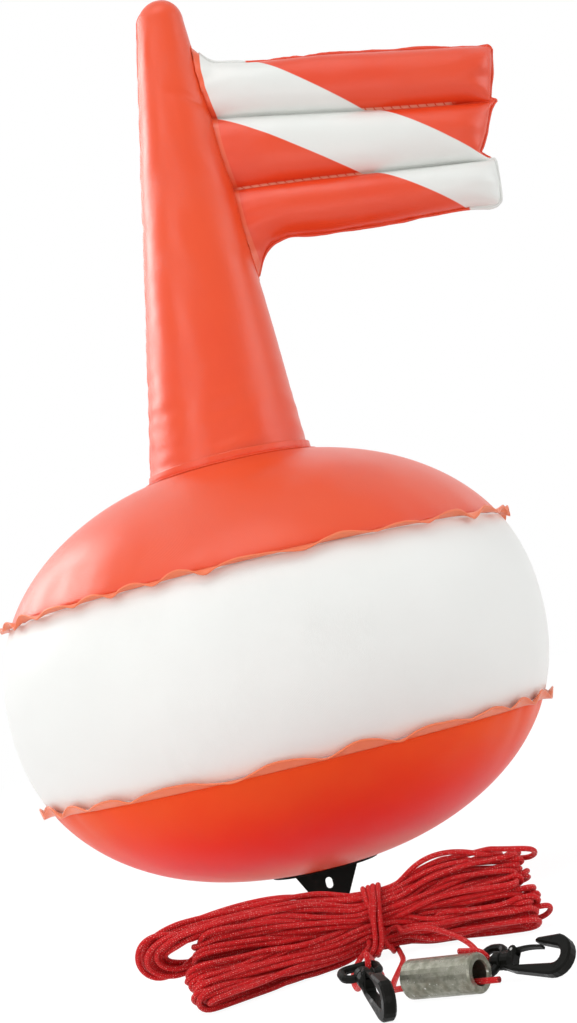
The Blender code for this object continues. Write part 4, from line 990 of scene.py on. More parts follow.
@dataclass
class Mast:
    """The tapering mast and the weld strip round its foot."""

    base_radius: float = 0.0552
    tip_radius: float = 0.0165
    tip_cap: float = 0.0170
    tip_offset: float = 0.0237
    wall: float = 0.0006
    steps: int = 200
    rings: int = 150
    cap_rings: int = 16
    girth_radius: float = 0.040
    axis_calm: float = 0.004
    seam_ridge: float = 0.0010
    seam_width: float = 0.035
    pucker: float = 0.0010
    pucker_reach: float = 0.30
    crease: float = 0.0013
    crease_reach: float = 0.045
    fold: float = 0.0016
    fold_at: Pair = (-0.85, 0.553)
    fold_slope: float = 6.0
    fold_rise: float = 0.010
    fold_reach: Pair = (0.55, 0.0035)
    soft: float = 0.0008
    strip_rows: int = 12
    strip_height: float = 0.0042
    strip_foot: float = 0.0045
    strip_lift: float = 0.0008
    strip_start: float = 0.0011
    strip_wave: float = 0.0005
    strip_girth: float = 0.055

    def __post_init__(self) -> None:
        """Take the mast's foot and top from the frame."""
        self.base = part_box("mast")[0].z
        self.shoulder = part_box("mast")[1].z - self.tip_cap

    def radius_at(self, height: float) -> float:
        """Radius of the taper at a height."""
        share = (height - self.base) / (self.shoulder - self.base)
        return self.base_radius + (self.tip_radius - self.base_radius) * share

    def axis_x(self, height: float) -> float:
        """X of the mast's axis at a height."""
        return self.tip_offset * (height - self.base) / (self.shoulder - self.base)

    def dent(self, angle: float, height: float) -> float:
        """Outward move of the film: seam ridge, puckers beside it, creases at the foot and under the flag.

        Args:
            angle: Angle round the mast.
            height: Height on it.

        Returns:
            The move in metres.
        """
        seam = math.remainder(angle - math.pi, math.tau)
        ridge = self.seam_ridge * math.exp(-(seam / self.seam_width) ** 2)
        beside = math.exp(-abs(seam) / self.pucker_reach)
        pucker = self.pucker * beside * noise.noise(Vector((seam * 2.0, height * 110.0, 8.0)))
        foot = math.exp(-max(0.0, height - self.base) / self.crease_reach)
        creases = self.crease * foot * noise.noise(Vector((angle * 2.2, height * 120.0, 3.0)))
        past = height - self.fold_at[1]
        aside = (angle - self.fold_at[0] + past * self.fold_slope) / self.fold_reach[0]
        above = (past + self.fold_rise * angle) / self.fold_reach[1]
        long_fold = -self.fold * math.exp(-aside ** 2 - above ** 2)
        soft = self.soft * noise.noise(around(angle, height * 14.0) * 1.3)
        return ridge + pucker + creases + long_fold + soft

    def shape(self, work: bmesh.types.BMesh) -> None:
        """Crease a turned mast and lean it over.

        Args:
            work: The mast's bmesh, changed in place.
        """
        for vertex in work.verts:
            place = vertex.co
            radius, angle = polar(place)
            if radius > self.axis_calm:
                stretch = 1.0 + self.dent(angle, place.z) * min(1.0, radius / self.tip_radius) / radius
                place.x *= stretch
                place.y *= stretch
            place.x += self.axis_x(place.z)

    def add_mast(self) -> bpy.types.Object:
        """Make the mast itself.

        Returns:
            The mast.
        """
        profile = []
        for ring in range(self.cap_rings):
            angle = math.pi / 2.0 * (1.0 - ring / self.cap_rings)
            radius = 0.0 if ring == 0 else self.tip_radius * math.cos(angle)
            profile.append((radius, self.shoulder + self.tip_cap * math.sin(angle)))
        for ring in range(self.rings + 1):
            height = self.shoulder + (self.base - self.shoulder) * ring / self.rings
            profile.append((self.radius_at(height), height))
        work = spun(profile, self.steps)
        self.shape(work)
        mesh = mesh_from(work, "mast_film")
        lay_cloth(mesh, lambda place: (math.atan2(place.y, place.x - self.axis_x(place.z)) * self.girth_radius,
                                       place.z), math.tau * self.girth_radius)
        mast = link_piece("mast_film", mesh, ORANGE_FILM, Slot.ORANGE, FLOAT_BODY, "mast")
        add_wall(mast, self.wall)
        return mast

    def add_strip(self, float_part: Float) -> bpy.types.Object:
        """Make the weld strip that runs down the mast's foot and out over the dome.

        Args:
            float_part: The float that it lies on.

        Returns:
            The strip.
        """
        lift = GAP + self.wall
        strip = []
        for row in range(self.strip_rows + 1):
            share = row / self.strip_rows
            if share < 0.5:
                height = self.base + self.strip_lift + self.strip_height * (1.0 - share / 0.5)
                strip.append((self.radius_at(height) + lift + self.strip_lift, height))
            else:
                radius = self.base_radius + self.strip_start + self.strip_foot * (share - 0.5) / 0.5
                strip.append((radius, float_part.centre + float_part.height_at(radius) + self.wall + 0.0001))
        work = spun(strip, self.steps)
        for vertex in work.verts:
            radius, angle = polar(vertex.co)
            wavy = 1.0 + self.strip_wave * noise.noise(Vector((angle * 9.0, radius * 300.0, 0.0))) / radius
            vertex.co.x = vertex.co.x * wavy + self.axis_x(vertex.co.z)
            vertex.co.y *= wavy
        mesh = mesh_from(work, "mast_foot_strip")
        lay_cloth(mesh, lambda place: (polar(place)[1] * self.strip_girth, place.z), math.tau * self.strip_girth)
        band = link_piece("mast_foot_strip", mesh, ORANGE_FILM, Slot.ORANGE, FLOAT_BODY, "mast_weld_strip")
        add_wall(band, self.wall)
        return band

    def build(self, float_part: Float) -> list[bpy.types.Object]:
        """Make the mast and its weld strip."""
        return [self.add_mast(), self.add_strip(float_part)]


@dataclass
class Flag:
    """The flag: two sheets welded round their edges and along two lines into three tubes."""

    columns: int = 170
    tube_rows: int = 34
    half_depth: float = 0.0140
    weld_share: float = 0.085
    fly_fullness: float = 0.12
    hoist_depth: float = 0.72
    lap_ease: float = 0.0025
    clearance: float = -0.0004
    wall: float = 0.0006
    pucker: float = 0.0011
    bottom_edge: Profile = ((0.0483, 0.2545), (0.0512, 0.2640), (0.0546, 0.2738), (0.0588, 0.2794),
                            (0.0654, 0.2834), (0.0759, 0.2845), (0.1073, 0.2800), (0.1512, 0.2771),
                            (0.2041, 0.2750), (0.2220, 0.2720))
    lower_weld: Profile = ((0.0441, 0.3253), (0.1061, 0.3184), (0.2235, 0.3036))
    upper_weld: Profile = ((0.0375, 0.3786), (0.1533, 0.3570), (0.2325, 0.3440))
    top_edge: Profile = ((0.0380, 0.4340), (0.0513, 0.4157), (0.0779, 0.4096), (0.1270, 0.4037), (0.2430, 0.3830))
    fly_edge: Profile = ((0.0, -0.0060), (0.07, -0.0012), (0.2, 0.0022), (0.5, 0.0042), (0.85, 0.0044),
                         (1.0, 0.0036), (1.12, 0.0005), (1.28, -0.0068), (1.5, -0.0015), (1.75, 0.0016),
                         (1.96, 0.0062), (2.05, 0.0056), (2.16, 0.0018), (2.5, 0.0024), (2.8, 0.0022),
                         (2.94, -0.0006), (3.0, -0.0070))
    line_ease: float = 0.0045
    weld_fade: float = 0.20
    fly_fade: float = 0.06
    hoist_fade: float = 0.10
    edge_fade: float = 0.10
    rim_fade: float = 0.05
    soft_dent: float = 0.0010
    fly_dent: float = 0.0050
    hoist_dent: float = 0.0018
    rim_sway: float = 0.0010
    crimp: float = 0.0011
    crimp_at: float = 0.118
    crimp_reach: float = 0.030
    rim_steps: int = 90
    rim_width: Pair = (0.0018, 0.0009)
    rim_ply: float = 0.0009

    def read(self, line: Profile, share: float) -> Pair:
        """Read an edge or weld line at a share of its run in X, eased between its points.

        Args:
            line: The line's points, as X and height.
            share: Share of its run.

        Returns:
            X and height there.
        """
        xs = [point[0] for point in line]
        x = xs[0] + (xs[-1] - xs[0]) * share
        spots = [x + self.line_ease * step for step in (-1.0, -0.5, 0.0, 0.5, 1.0)]
        heights = np.interp(np.clip(spots, xs[0], xs[-1]), xs, [point[1] for point in line])
        return x, float(np.dot(heights, (0.1, 0.2, 0.4, 0.2, 0.1)))

    def tube_at(self, share: float, row: float) -> tuple[int, float, float, Pair, Pair]:
        """Find the tube of a row.

        Args:
            share: Run from the hoist to the fly.
            row: Run up through the tubes, from 0 to 3.

        Returns:
            Its number, the way up it, that way eased, and the points of its lower and upper lines.
        """
        lines = (self.bottom_edge, self.lower_weld, self.upper_weld, self.top_edge)
        tube = min(2, int(row))
        across = row - tube
        ease = (1.0 - math.cos(math.pi * across)) / 2.0
        return tube, across, ease, self.read(lines[tube], share), self.read(lines[tube + 1], share)

    def fullness(self, share: float, across: float) -> float:
        """How full a tube is, from 0 in its welds to 1 along its middle.

        Args:
            share: Run from the hoist to the fly.
            across: Way up the tube, from 0 to 1.

        Returns:
            The fullness.
        """
        inner = min(1.0, max(0.0, (across - self.weld_share) / (1.0 - 2.0 * self.weld_share)))
        end = min(1.0, (1.0 - share) / self.fly_fullness)
        fly = math.sqrt(max(0.0, 1.0 - (1.0 - end) ** 2))
        hoist = self.hoist_depth + (1.0 - self.hoist_depth) * min(1.0, share * 5.0)
        return math.sin(math.pi * inner) ** 0.75 * fly * hoist

    def place(self, share: float, row: float, side: float, mast: Mast, centre: float) -> Vector:
        """Place a point of one sheet.

        Args:
            share: Run from the hoist to the fly.
            row: Run up through the tubes, from 0 to 3.
            side: -1 for the front sheet and 1 for the back one.
            mast: The mast that the sheets are welded to.
            centre: Height of the float's centre.

        Returns:
            The point of the sheet's outer face.
        """
        tube, across, ease, low, high = self.tube_at(share, row)
        fly = float(np.interp(row, *zip(*self.fly_edge)))
        x = low[0] + (high[0] - low[0]) * ease + fly * share ** 14
        height = centre + low[1] + (high[1] - low[1]) * ease
        full = self.fullness(share, across)
        near_fly = math.exp(-(1.0 - share) / self.fly_fade)
        near_hoist = math.exp(-share / self.hoist_fade)
        beside_weld = math.exp(-min(across, 1.0 - across) / self.weld_fade)
        ripple = noise.noise(Vector((x * 88.0, tube * 7.0 + (0.0 if across < 0.5 else 3.0), side)))
        move = self.pucker * beside_weld * ripple
        dents = ((self.soft_dent, 22.0, 34.0, 2.0), (self.fly_dent * near_fly, 45.0, 120.0, 3.0),
                 (self.hoist_dent * near_hoist, 45.0, 150.0, 4.0))
        for dent, wide, tall, layer in dents:
            move += dent * noise.noise(Vector((x * wide, height * tall, side * layer)))
        depth = self.half_depth * full + move * full ** 0.6
        reach = mast.radius_at(height) + self.clearance
        lap = max(0.0, min(depth - self.lap_ease, reach * 0.9))
        hoist_x = mast.axis_x(height) + math.sqrt(reach ** 2 - lap ** 2)
        at_edge = max(math.exp(-row / self.edge_fade), math.exp(-(3.0 - row) / self.edge_fade))
        x += (hoist_x - x) * max(0.0, 1.0 - share * (5.0 + 40.0 * at_edge)) ** 3
        rim = max(math.exp(-row / self.rim_fade), math.exp(-(3.0 - row) / self.rim_fade)) * min(1.0, share * 8.0)
        crimps = math.exp(-((x - self.crimp_at) / self.crimp_reach) ** 2) * (row > 1.5)
        height += rim * (self.rim_sway * noise.noise(Vector((x * 38.0, row, 5.0)))
                         + self.crimp * crimps * noise.noise(Vector((x * 160.0, row, 6.0))))
        return Vector((x, side * (GAP / 2.0 + max(0.0, depth)), height))

    def lie(self, share: float, row: float, place: Vector, mast: Mast, centre: float) -> Vector:
        """Place of a point in the flat cloth.

        Args:
            share: Run from the hoist to the fly.
            row: Run up through the tubes.
            place: The point.
            mast: The mast.
            centre: Height of the float's centre.

        Returns:
            Its distance from the nearer weld line, its distance from the mast, and its height in the flat cloth.
        """
        _, across, ease, (_, low), (_, high) = self.tube_at(share, row)
        flat = low + (high - low) * (0.58 * ease + 0.42 * across)
        weld = self.read(self.lower_weld if row < 1.5 else self.upper_weld, share)[1]
        off = math.hypot(place.x - mast.axis_x(place.z), place.y) - mast.radius_at(place.z)
        return Vector((abs(place.z - centre - weld), off, centre + flat))

    def add_sheet(self, side: float, mast: Mast, centre: float) -> bpy.types.Object:
        """Make one sheet.

        Args:
            side: -1 for the front sheet and 1 for the back one.
            mast: The mast.
            centre: Height of the float's centre.

        Returns:
            The sheet.
        """
        name = "flag_front" if side < 0.0 else "flag_back"
        work = bmesh.new()
        bmesh.ops.create_grid(work, x_segments=self.columns, y_segments=3 * self.tube_rows, size=0.5)
        lie = work.verts.layers.float_vector.new("lie")
        for vertex in work.verts:
            share, row = vertex.co.x + 0.5, 3.0 * (vertex.co.y + 0.5)
            vertex.co = self.place(share, row, side, mast, centre)
            vertex[lie] = self.lie(share, row, vertex.co, mast, centre)
        bmesh.ops.recalc_face_normals(work, faces=work.faces)
        if sum(face.normal.y for face in work.faces) * side < 0.0:
            bmesh.ops.reverse_faces(work, faces=work.faces)
        mesh = mesh_from(work, name + "_film", 70.0)
        lay_cloth(mesh, lambda place: (place.x, place.z))
        piece = link_piece(name + "_film", mesh, FLAG_FILM, Slot.ORANGE, FLOAT_BODY, name + "_sheet")
        add_wall(piece, self.wall, 1.0)
        return piece

    def add_rim(self, mast: Mast, centre: float) -> bpy.types.Object:
        """Make the flat welded margin that runs round the flag's free edges.

        Args:
            mast: The mast.
            centre: Height of the float's centre.

        Returns:
            The margin.
        """
        steps = self.rim_steps
        run = [(step / steps, 0.0) for step in range(1, steps + 1)]
        run += [(1.0, 3.0 * step / steps) for step in range(1, steps)]
        run += [(step / steps, 3.0) for step in range(steps, 2, -1)]
        spots = [self.place(share, row, -1.0, mast, centre) for share, row in run]
        work = bmesh.new()
        lie = work.verts.layers.float_vector.new("lie")
        pairs = []
        for index, spot in enumerate(spots):
            ahead = spots[min(index + 2, len(spots) - 1)] - spots[max(index - 2, 0)]
            outward = Vector((ahead.z, 0.0, -ahead.x)).normalized()
            wide, uneven = self.rim_width
            width = (wide + uneven * noise.noise(spot * 70.0)) * min(1.0, 0.2 + 12.0 * run[index][0])
            inner = Vector((spot.x, 0.0, spot.z)) - outward * 0.0002
            outer = inner + outward * width
            outer.y += 0.0009 * noise.noise(spot * 210.0)
            pair = work.verts.new(inner), work.verts.new(outer)
            for vertex in pair:
                vertex[lie] = self.lie(*run[index], spot, mast, centre)
                vertex[lie].x = 0.01
            pairs.append(pair)
        for one, two in zip(pairs, pairs[1:]):
            work.faces.new((one[0], one[1], two[1], two[0]))
        bmesh.ops.recalc_face_normals(work, faces=work.faces)
        mesh = mesh_from(work, "flag_margin")
        lay_cloth(mesh, lambda place: (place.x, place.z))
        piece = link_piece("flag_margin", mesh, FLAG_FILM, Slot.ORANGE, FLOAT_BODY)
        add_wall(piece, self.rim_ply, 0.0)
        return piece

    def build(self, mast: Mast, centre: float) -> list[bpy.types.Object]:
        """Make both sheets and the margin."""
        return [*(self.add_sheet(side, mast, centre) for side in (-1.0, 1.0)), self.add_rim(mast, centre)]


@dataclass
class Valve:
    """The oral valve on the back of the upper dome: body, flap, stopper and strap."""

    angle: float = math.radians(48.0)

    def seat(self, float_part: Float) -> Matrix:
        """Frame on the back of the dome: local Z is the outward normal and local Y runs uphill.

        Args:
            float_part: The float that it sits on.

        Returns:
            The frame.
        """
        radius, height = float_part.point(self.angle)
        above = height - float_part.centre
        power = float_part.power - 1.0
        slope = Vector((0.0, radius ** power / float_part.radius ** float_part.power,
                        above ** power / float_part.half_height ** float_part.power)).normalized()
        across = Vector((-1.0, 0.0, 0.0))
        place = Matrix((across, slope.cross(across), slope)).transposed().to_4x4()
        place.translation = Vector((0.0, radius, height))
        return place

    def build(self) -> None:
        """Dress the valve's nodes."""
        for node in ("valve_body", "valve_flap", "valve_plug", "valve_tether"):
            dress(node, VALVE_PLASTIC)


def dress(node: str, finish: object) -> None:
    """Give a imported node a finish.

    Args:
        node: The node's name.
        finish: Its finish.
    """
    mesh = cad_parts[node].data
    mesh.materials.clear()
    mesh.materials.append(WARDROBE.of(finish))


@dataclass
class Keel:
    """The black patch and pierced tab under the float."""

    def build(self) -> None:
        """Dress the patch and the tab."""
        for node in ("keel_patch", "keel_tab"):
            dress(node, BLACK_SHEET)


@dataclass
class Beads:
    """A cord as a chain of beads that keep their spacing and push each other apart."""

    points: np.ndarray
    held: np.ndarray
    diameter: float
    skip: int = 4
    rebuild: int = 8
    near: float = 1.9
    crowd: float = 0.55
    lift: float = 0.0001

    def __post_init__(self) -> None:
        """Measure the spacing that the chain keeps."""
        self.rest = np.linalg.norm(np.diff(self.points, axis=0), axis=1)
        self.hold(self.held)

    def hold(self, held: np.ndarray) -> None:
        """Choose the beads that stay where they are."""
        self.held = held
        self.free = (~held).astype(float)[:, None]

    def close_pairs(self) -> tuple[np.ndarray, np.ndarray]:
        """List the pairs of near beads that aren't neighbours along the cord and can move.

        Returns:
            The first and the second bead of each pair.
        """
        tree = kdtree.KDTree(len(self.points))
        for index, point in enumerate(self.points):
            tree.insert(point, index)
        tree.balance()
        ones, twos = [], []
        for index, point in enumerate(self.points):
            for _, other, _ in tree.find_range(point, self.near * self.diameter):
                if other > index + self.skip and not (self.held[index] and self.held[other]):
                    ones.append(index)
                    twos.append(other)
        return np.array(ones, dtype=int), np.array(twos, dtype=int)

    def push_apart(self, ones: np.ndarray, twos: np.ndarray) -> None:
        """Part the pairs of beads that overlap, the free one of a pair by the whole way.

        Args:
            ones: First bead of each pair.
            twos: Second bead of each pair.
        """
        apart = self.points[twos] - self.points[ones]
        far = np.maximum(np.linalg.norm(apart, axis=1), 1e-7)
        short = np.maximum(0.0, self.diameter - far)
        push = apart / far[:, None] * short[:, None]
        free = self.free[:, 0]
        both = np.maximum(1.0, free[ones] + free[twos])
        size = len(self.points)
        hits = (short > 0.0).astype(float)
        count = np.bincount(ones, hits, size) + np.bincount(twos, hits, size)
        scale = free / np.maximum(1.0, self.crowd * count)
        for axis in range(3):
            share = push[:, axis] / both
            total = np.bincount(twos, share, size) - np.bincount(ones, share, size)
            self.points[:, axis] += total * scale

    def keep_spacing(self) -> None:
        """Bring each bead back to its spacing from the next."""
        for start in (0, 1):
            one, two = self.points[start:-1:2], self.points[start + 1::2]
            count = min(len(one), len(two))
            along = two[:count] - one[:count]
            far = np.maximum(np.linalg.norm(along, axis=1), 1e-9)
            move = along * (0.5 * (far - self.rest[start::2][:count]) / far)[:, None]
            self.points[start:-1:2][:count] += move * self.free[start:-1:2][:count]
            self.points[start + 1::2][:count] -= move * self.free[start + 1::2][:count]

    def smooth(self, share: float) -> None:
        """Stiffen the cord a little."""
        middle = 0.5 * (self.points[:-2] + self.points[2:]) - self.points[1:-1]
        self.points[1:-1] += share * middle * self.free[1:-1]

    def settle(self, rounds: int, weight: float, stiff: float,
               cinch: Callable[[np.ndarray], np.ndarray] | None = None) -> None:
        """Let the cord settle on the floor.

        Args:
            rounds: How many rounds to run.
            weight: Drop in each round.
            stiff: Share of smoothing in each round.
            cinch: Gives the move that the tie puts on each bead.
        """
        ones, twos = self.close_pairs()
        low = self.diameter / 2.0 + self.lift
        for step in range(rounds):
            if step % self.rebuild == self.rebuild - 1:
                ones, twos = self.close_pairs()
            self.points[:, 2:] -= weight * self.free
            if cinch:
                self.points += cinch(self.points) * self.free
            self.smooth(stiff)
            self.keep_spacing()
            for _ in range(3):
                self.push_apart(ones, twos)
            self.points[:, 2] = np.where(self.held, self.points[:, 2], np.maximum(self.points[:, 2], low))


def smooth_line(points: Iterable[Sequence[float]], steps: int = 24) -> np.ndarray:
    """Run a smooth curve through a route's own points.

    Args:
        points: The route.
        steps: Points for each stretch.

    Returns:
        The fine line.
    """
    knots = [Vector(point) for point in points]
    ends = [2.0 * knots[0] - knots[1]] + knots + [2.0 * knots[-1] - knots[-2]]
    fine = []
    for before, start, end, after in zip(ends, ends[1:], ends[2:], ends[3:]):
        for step in range(steps):
            t = step / steps
            fine.append(0.5 * (2.0 * start + (end - before) * t
                               + (2.0 * before - 5.0 * start + 4.0 * end - after) * t * t
                               + (3.0 * start - before - 3.0 * end + after) * t ** 3))
    fine.append(knots[-1])
    return np.array([tuple(point) for point in fine])


def evenly(line: np.ndarray, spacing: float) -> np.ndarray:
    """Read a line again at an even spacing.

    Args:
        line: Points of the line.
        spacing: Distance from point to point, about.

    Returns:
        The new points.
    """
    lengths = np.concatenate([[0.0], np.cumsum(np.linalg.norm(np.diff(line, axis=0), axis=1))])
    marks = np.linspace(0.0, lengths[-1], max(2, round(lengths[-1] / spacing)) + 1)
    return np.stack([np.interp(marks, lengths, line[:, axis]) for axis in range(3)], axis=1)


@dataclass
class SnapHook:
    """Place of one snap hook's eye, which the line is hitched to."""

    side: str
    at: Pair
    height: float
    heading: float
    dip: float
    eye_roll: float
    hitch_side: float
    tail: float = 0.0
    bar_radius: float = 0.0021
    eye_height: float = 0.0155
    clearance: float = 0.0010

    def frame(self) -> Matrix:
        """World frame of the hook's eye: local X runs from the eye to the nose.

        Returns:
            The frame.
        """
        place = Matrix.Translation((*self.at, self.height))
        for angle, axis in ((self.heading, "Z"), (self.dip, "Y"), (self.eye_roll, "X")):
            place = place @ Matrix.Rotation(math.radians(angle), 4, axis)
        return place

    def hitch(self, diameter: float) -> list[Vector]:
        """Points of the cord round the eye's far bar, up through the slot and over.

        Args:
            diameter: The cord's diameter.

        Returns:
            The points, with the tail's if there is one.
        """
        place = self.frame()
        bar_x = -self.eye_height + self.bar_radius
        reach = self.bar_radius + diameter / 2.0 + self.clearance
        points = []
        for angle, lean in ((-100.0, -1.0), (-50.0, -0.5), (0.0, 0.0), (50.0, 0.5), (100.0, 1.0)):
            turn = math.radians(angle)
            points.append(place @ Vector((bar_x + reach * math.cos(turn), self.hitch_side + lean * diameter * 0.6,
                                          reach * math.sin(turn))))
        if self.tail:
            points.append(place @ Vector((bar_x - self.tail, self.hitch_side + diameter * 0.8, reach)))
        return points

    def build(self) -> None:
        """Dress the hook's nodes."""
        for part in ("body", "eye", "gate"):
            dress(f"{self.side}_hook_{part}", HOOK_PLASTIC)
        dress(f"{self.side}_hook_gate_pin", PIN_METAL)


@dataclass(frozen=True)
class LoopEnd:
    """Turn of one wrap at the end of its fan: where it lies and how far its two strands part."""

    reach: float
    y: float
    z: float
    depth: float
    rise: float
    nose: float

    def arc(self, side: float, steps: int = 9) -> list[Vector]:
        """Points of the turn.

        Args:
            side: 1 at the right end, where the front strand comes in, and -1 at the left end.
            steps: Stretches of the turn.

        Returns:
            The points, from the strand that comes in to the one that goes out.
        """
        points = []
        for step in range(steps + 1):
            angle = math.pi * step / steps
            swing = -side * math.cos(angle)
            x = side * (self.reach - self.nose + self.nose * math.sin(angle))
            points.append(Vector((x, self.y + swing * self.depth, self.z - swing * self.rise)))
        return points


@dataclass
class DiveLine:
    """One braided cord: weight, tie, left hook, hank and right hook, in that order."""

    diameter: float = 0.0030
    spacing: float = 0.0024
    sides: int = 3
    wraps: int = 32
    waist: Triple = (0.0220, -0.2220, 0.0205)
    waist_half_width: float = 0.0125
    waist_half_height: float = 0.0158
    cinch_reach: float = 0.0120
    sway: float = 0.0042
    rise: float = 0.0120
    top_slack: float = 0.0070
    strand_steps: int = 26
    settle_rounds: int = 200
    quick_settle_rounds: int = 30
    quick_tie_rounds: int = 10
    tie_rounds: int = 50
    girth_steps: int = 72
    tie_steps: int = 230
    tie_turns: Sequence[float] = (-1.15, 1.0, 3.0, 5.0, 7.0, 9.0, 11.0, 13.0, 14.75)
    tie_places: Sequence[float] = (0.0290, 0.0180, 0.0262, 0.0205, 0.0168, 0.0265, 0.0140, 0.0232, 0.0125)
    seed: int = 11
    weight_at: Pair = (0.0430, -0.4000)
    weight_heading: float = -42.0
    weight_length: float = 0.0420
    weight_radius: float = 0.0095
    bore_radius: float = 0.0057
    stub: float = 0.0100
    hank_start: Triple = (0.0120, -0.2450, 0.0085)
    hank_end: Triple = (0.0350, -0.2480, 0.0130)
    left_out: Sequence[Triple] = (
        (0.0065, -0.2530, 0.0052), (0.0030, -0.2640, 0.0026), (0.0010, -0.2850, 0.0020),
        (0.0005, -0.3150, 0.0022), (0.0020, -0.3500, 0.0056))
    left_back: Sequence[Triple] = (
        (0.0125, -0.3600, 0.0160), (0.0150, -0.3300, 0.0056), (0.0130, -0.3000, 0.0022),
        (0.0105, -0.2750, 0.0020), (0.0120, -0.2585, 0.0022))
    weight_lead: Sequence[Triple] = (
        (0.0290, -0.2700, 0.0019), (0.0250, -0.3000, 0.0019), (0.0200, -0.3350, 0.0020),
        (0.0185, -0.3620, 0.0028))
    right_lead: Sequence[Triple] = (
        (0.0430, -0.2600, 0.0150), (0.0530, -0.2760, 0.0125), (0.0630, -0.2940, 0.0070),
        (0.0660, -0.3160, 0.0026), (0.0610, -0.3480, 0.0021), (0.0590, -0.3680, 0.0040))

    def left_end(self, share: float, draw: np.random.Generator) -> LoopEnd:
        """Turn of a wrap in the left fan: low front loops, short middle ones and long ones round the windows.

        Args:
            share: Share of the wraps laid before it.
            draw: Source of its scatter.

        Returns:
            The turn.
        """
        shift = draw.uniform(-1.0, 1.0, 5)
        if share < 0.44:
            up = share / 0.44
            return LoopEnd(reach=0.080 + 0.009 * up + 0.003 * shift[0], y=-0.283 + 0.018 * up + 0.004 * shift[1],
                           z=0.0075 + 0.0145 * up, depth=0.0075 + 0.0025 * shift[2],
                           rise=0.0050 + 0.002 * shift[3], nose=0.0080)
        if share < 0.66:
            up = (share - 0.44) / 0.22
            return LoopEnd(reach=0.080 + 0.004 * shift[0], y=-0.256 + 0.007 * shift[1], z=0.027 + 0.009 * up,
                           depth=0.0080 + 0.002 * shift[2], rise=0.0060 + 0.0015 * shift[3], nose=0.0080)
        up = (share - 0.66) / 0.34
        return LoopEnd(reach=0.100 + 0.012 * up + 0.002 * shift[0], y=-0.250 + 0.012 * shift[1],
                       z=0.0335 + 0.0015 * shift[2], depth=0.0070 + 0.002 * shift[3],
                       rise=0.0085 + 0.0060 * up, nose=0.0150)

    def right_end(self, share: float, draw: np.random.Generator) -> LoopEnd:
        """Turn of a wrap in the right fan: a comb of narrow loops, with three wide ones.

        Args:
            share: Share of the wraps laid before it.
            draw: Source of its scatter.

        Returns:
            The turn.
        """
        shift = draw.uniform(-1.0, 1.0, 5)
        wide = 1.0 if share > 0.97 or 0.08 < share < 0.12 else 0.0
        reach = 0.1055 + 0.0055 * shift[0] - 0.010 * max(0.0, share - 0.75) + 0.008 * wide
        return LoopEnd(reach=reach, y=-0.268 + 0.018 * share + 0.008 * shift[1],
                       z=0.0060 + 0.0370 * share + 0.0020 * shift[2],
                       depth=0.0070 + 0.003 * shift[3] + 0.003 * wide,
                       rise=0.0028 + 0.0015 * shift[4] + 0.003 * wide, nose=0.0080)

    def waist_point(self, share: float, side: float, draw: np.random.Generator) -> Vector:
        """Place of a strand in the waist.

        Args:
            share: Its height from the lowest strand to the highest.
            side: -1 for a front strand and 1 for a back one.
            draw: Source of its scatter.

        Returns:
            The point.
        """
        up = float(np.clip(-0.90 + 1.80 * share + draw.uniform(-0.16, 0.16), -0.95, 0.95))
        out = side * math.sqrt(1.0 - up * up) * draw.uniform(0.12, 0.92)
        return Vector((self.waist[0], self.waist[1] + out * self.waist_half_width,
                       self.waist[2] + up * self.waist_half_height))

    def strand(self, start: Vector, end: Vector, waist: Vector, slack: float, seed: float) -> list[Vector]:
        """Points of a strand between two turns, through the waist.

        Args:
            start: Where it leaves one turn.
            end: Where it reaches the other.
            waist: Its place in the waist.
            slack: How high it bows over the right fan.
            seed: Number of its sway.

        Returns:
            The points between start and end, without either.
        """
        points = []
        for step in range(1, self.strand_steps):
            x = start.x + (end.x - start.x) * step / self.strand_steps
            side = start if (x - waist.x) * (start.x - waist.x) > 0.0 else end
            share = min(1.0, abs((x - waist.x) / (side.x - waist.x)))
            place = waist.lerp(side, share ** 1.35)
            bow = math.sin(math.pi * share)
            sway_y, sway_z = (noise.noise(Vector((x * 26.0, seed * 3.1, plane))) * self.sway * bow
                              for plane in (0.37, 9.71))
            high = min(0.7, max(0.0, (waist.z - self.waist[2]) / self.waist_half_height))
            lift = bow * (self.rise * high + (slack if side.x > waist.x else 0.0))
            points.append(Vector((x, place.y + sway_y, place.z + sway_z + lift)))
        return points

    def hank(self) -> list[Vector]:
        """Centre line of the hank, from its start in front of the waist to its end there.

        Returns:
            The points.
        """
        draw = np.random.default_rng(self.seed)
        count = self.wraps
        lefts = [self.left_end(index / (count - 1), draw) for index in range(count)]
        rights = [self.right_end(index / (count - 1), draw) for index in range(count)]
        points = [Vector(self.hank_start)]
        for index in range(count):
            share = index / count
            slack = self.top_slack if index == count - 2 else 0.0
            for turn, side, bow, seed in ((rights[index].arc(1.0), -1.0, slack, 2.0 * index),
                                          (lefts[index].arc(-1.0), 1.0, 0.0, 2.0 * index + 1.0)):
                points += self.strand(points[-1], turn[0], self.waist_point(share, side, draw), bow, seed)
                points += turn
        last = Vector(self.waist) + Vector((0.0, -0.70 * self.waist_half_width, -0.62 * self.waist_half_height))
        points += self.strand(points[-1], Vector(self.hank_end), last, 0.0, 99.0)
        points.append(Vector(self.hank_end))
        return points

    def cinch(self, points: np.ndarray) -> np.ndarray:
        """Move that draws the hank in at its waist.

        Args:
            points: The beads.

        Returns:
            The move of each bead.
        """
        near = np.exp(-((points[:, 0] - self.waist[0]) / self.cinch_reach) ** 4)
        across = (points[:, 1] - self.waist[1]) / self.waist_half_width
        up = (points[:, 2] - self.waist[2]) / self.waist_half_height
        out = np.sqrt(across ** 2 + up ** 2)
        excess = np.maximum(0.0, out - 1.0) / np.maximum(out, 1e-6) * near * 0.4
        move = np.zeros_like(points)
        move[:, 1] = -across * excess * self.waist_half_width
        move[:, 2] = -up * excess * self.waist_half_height
        return move

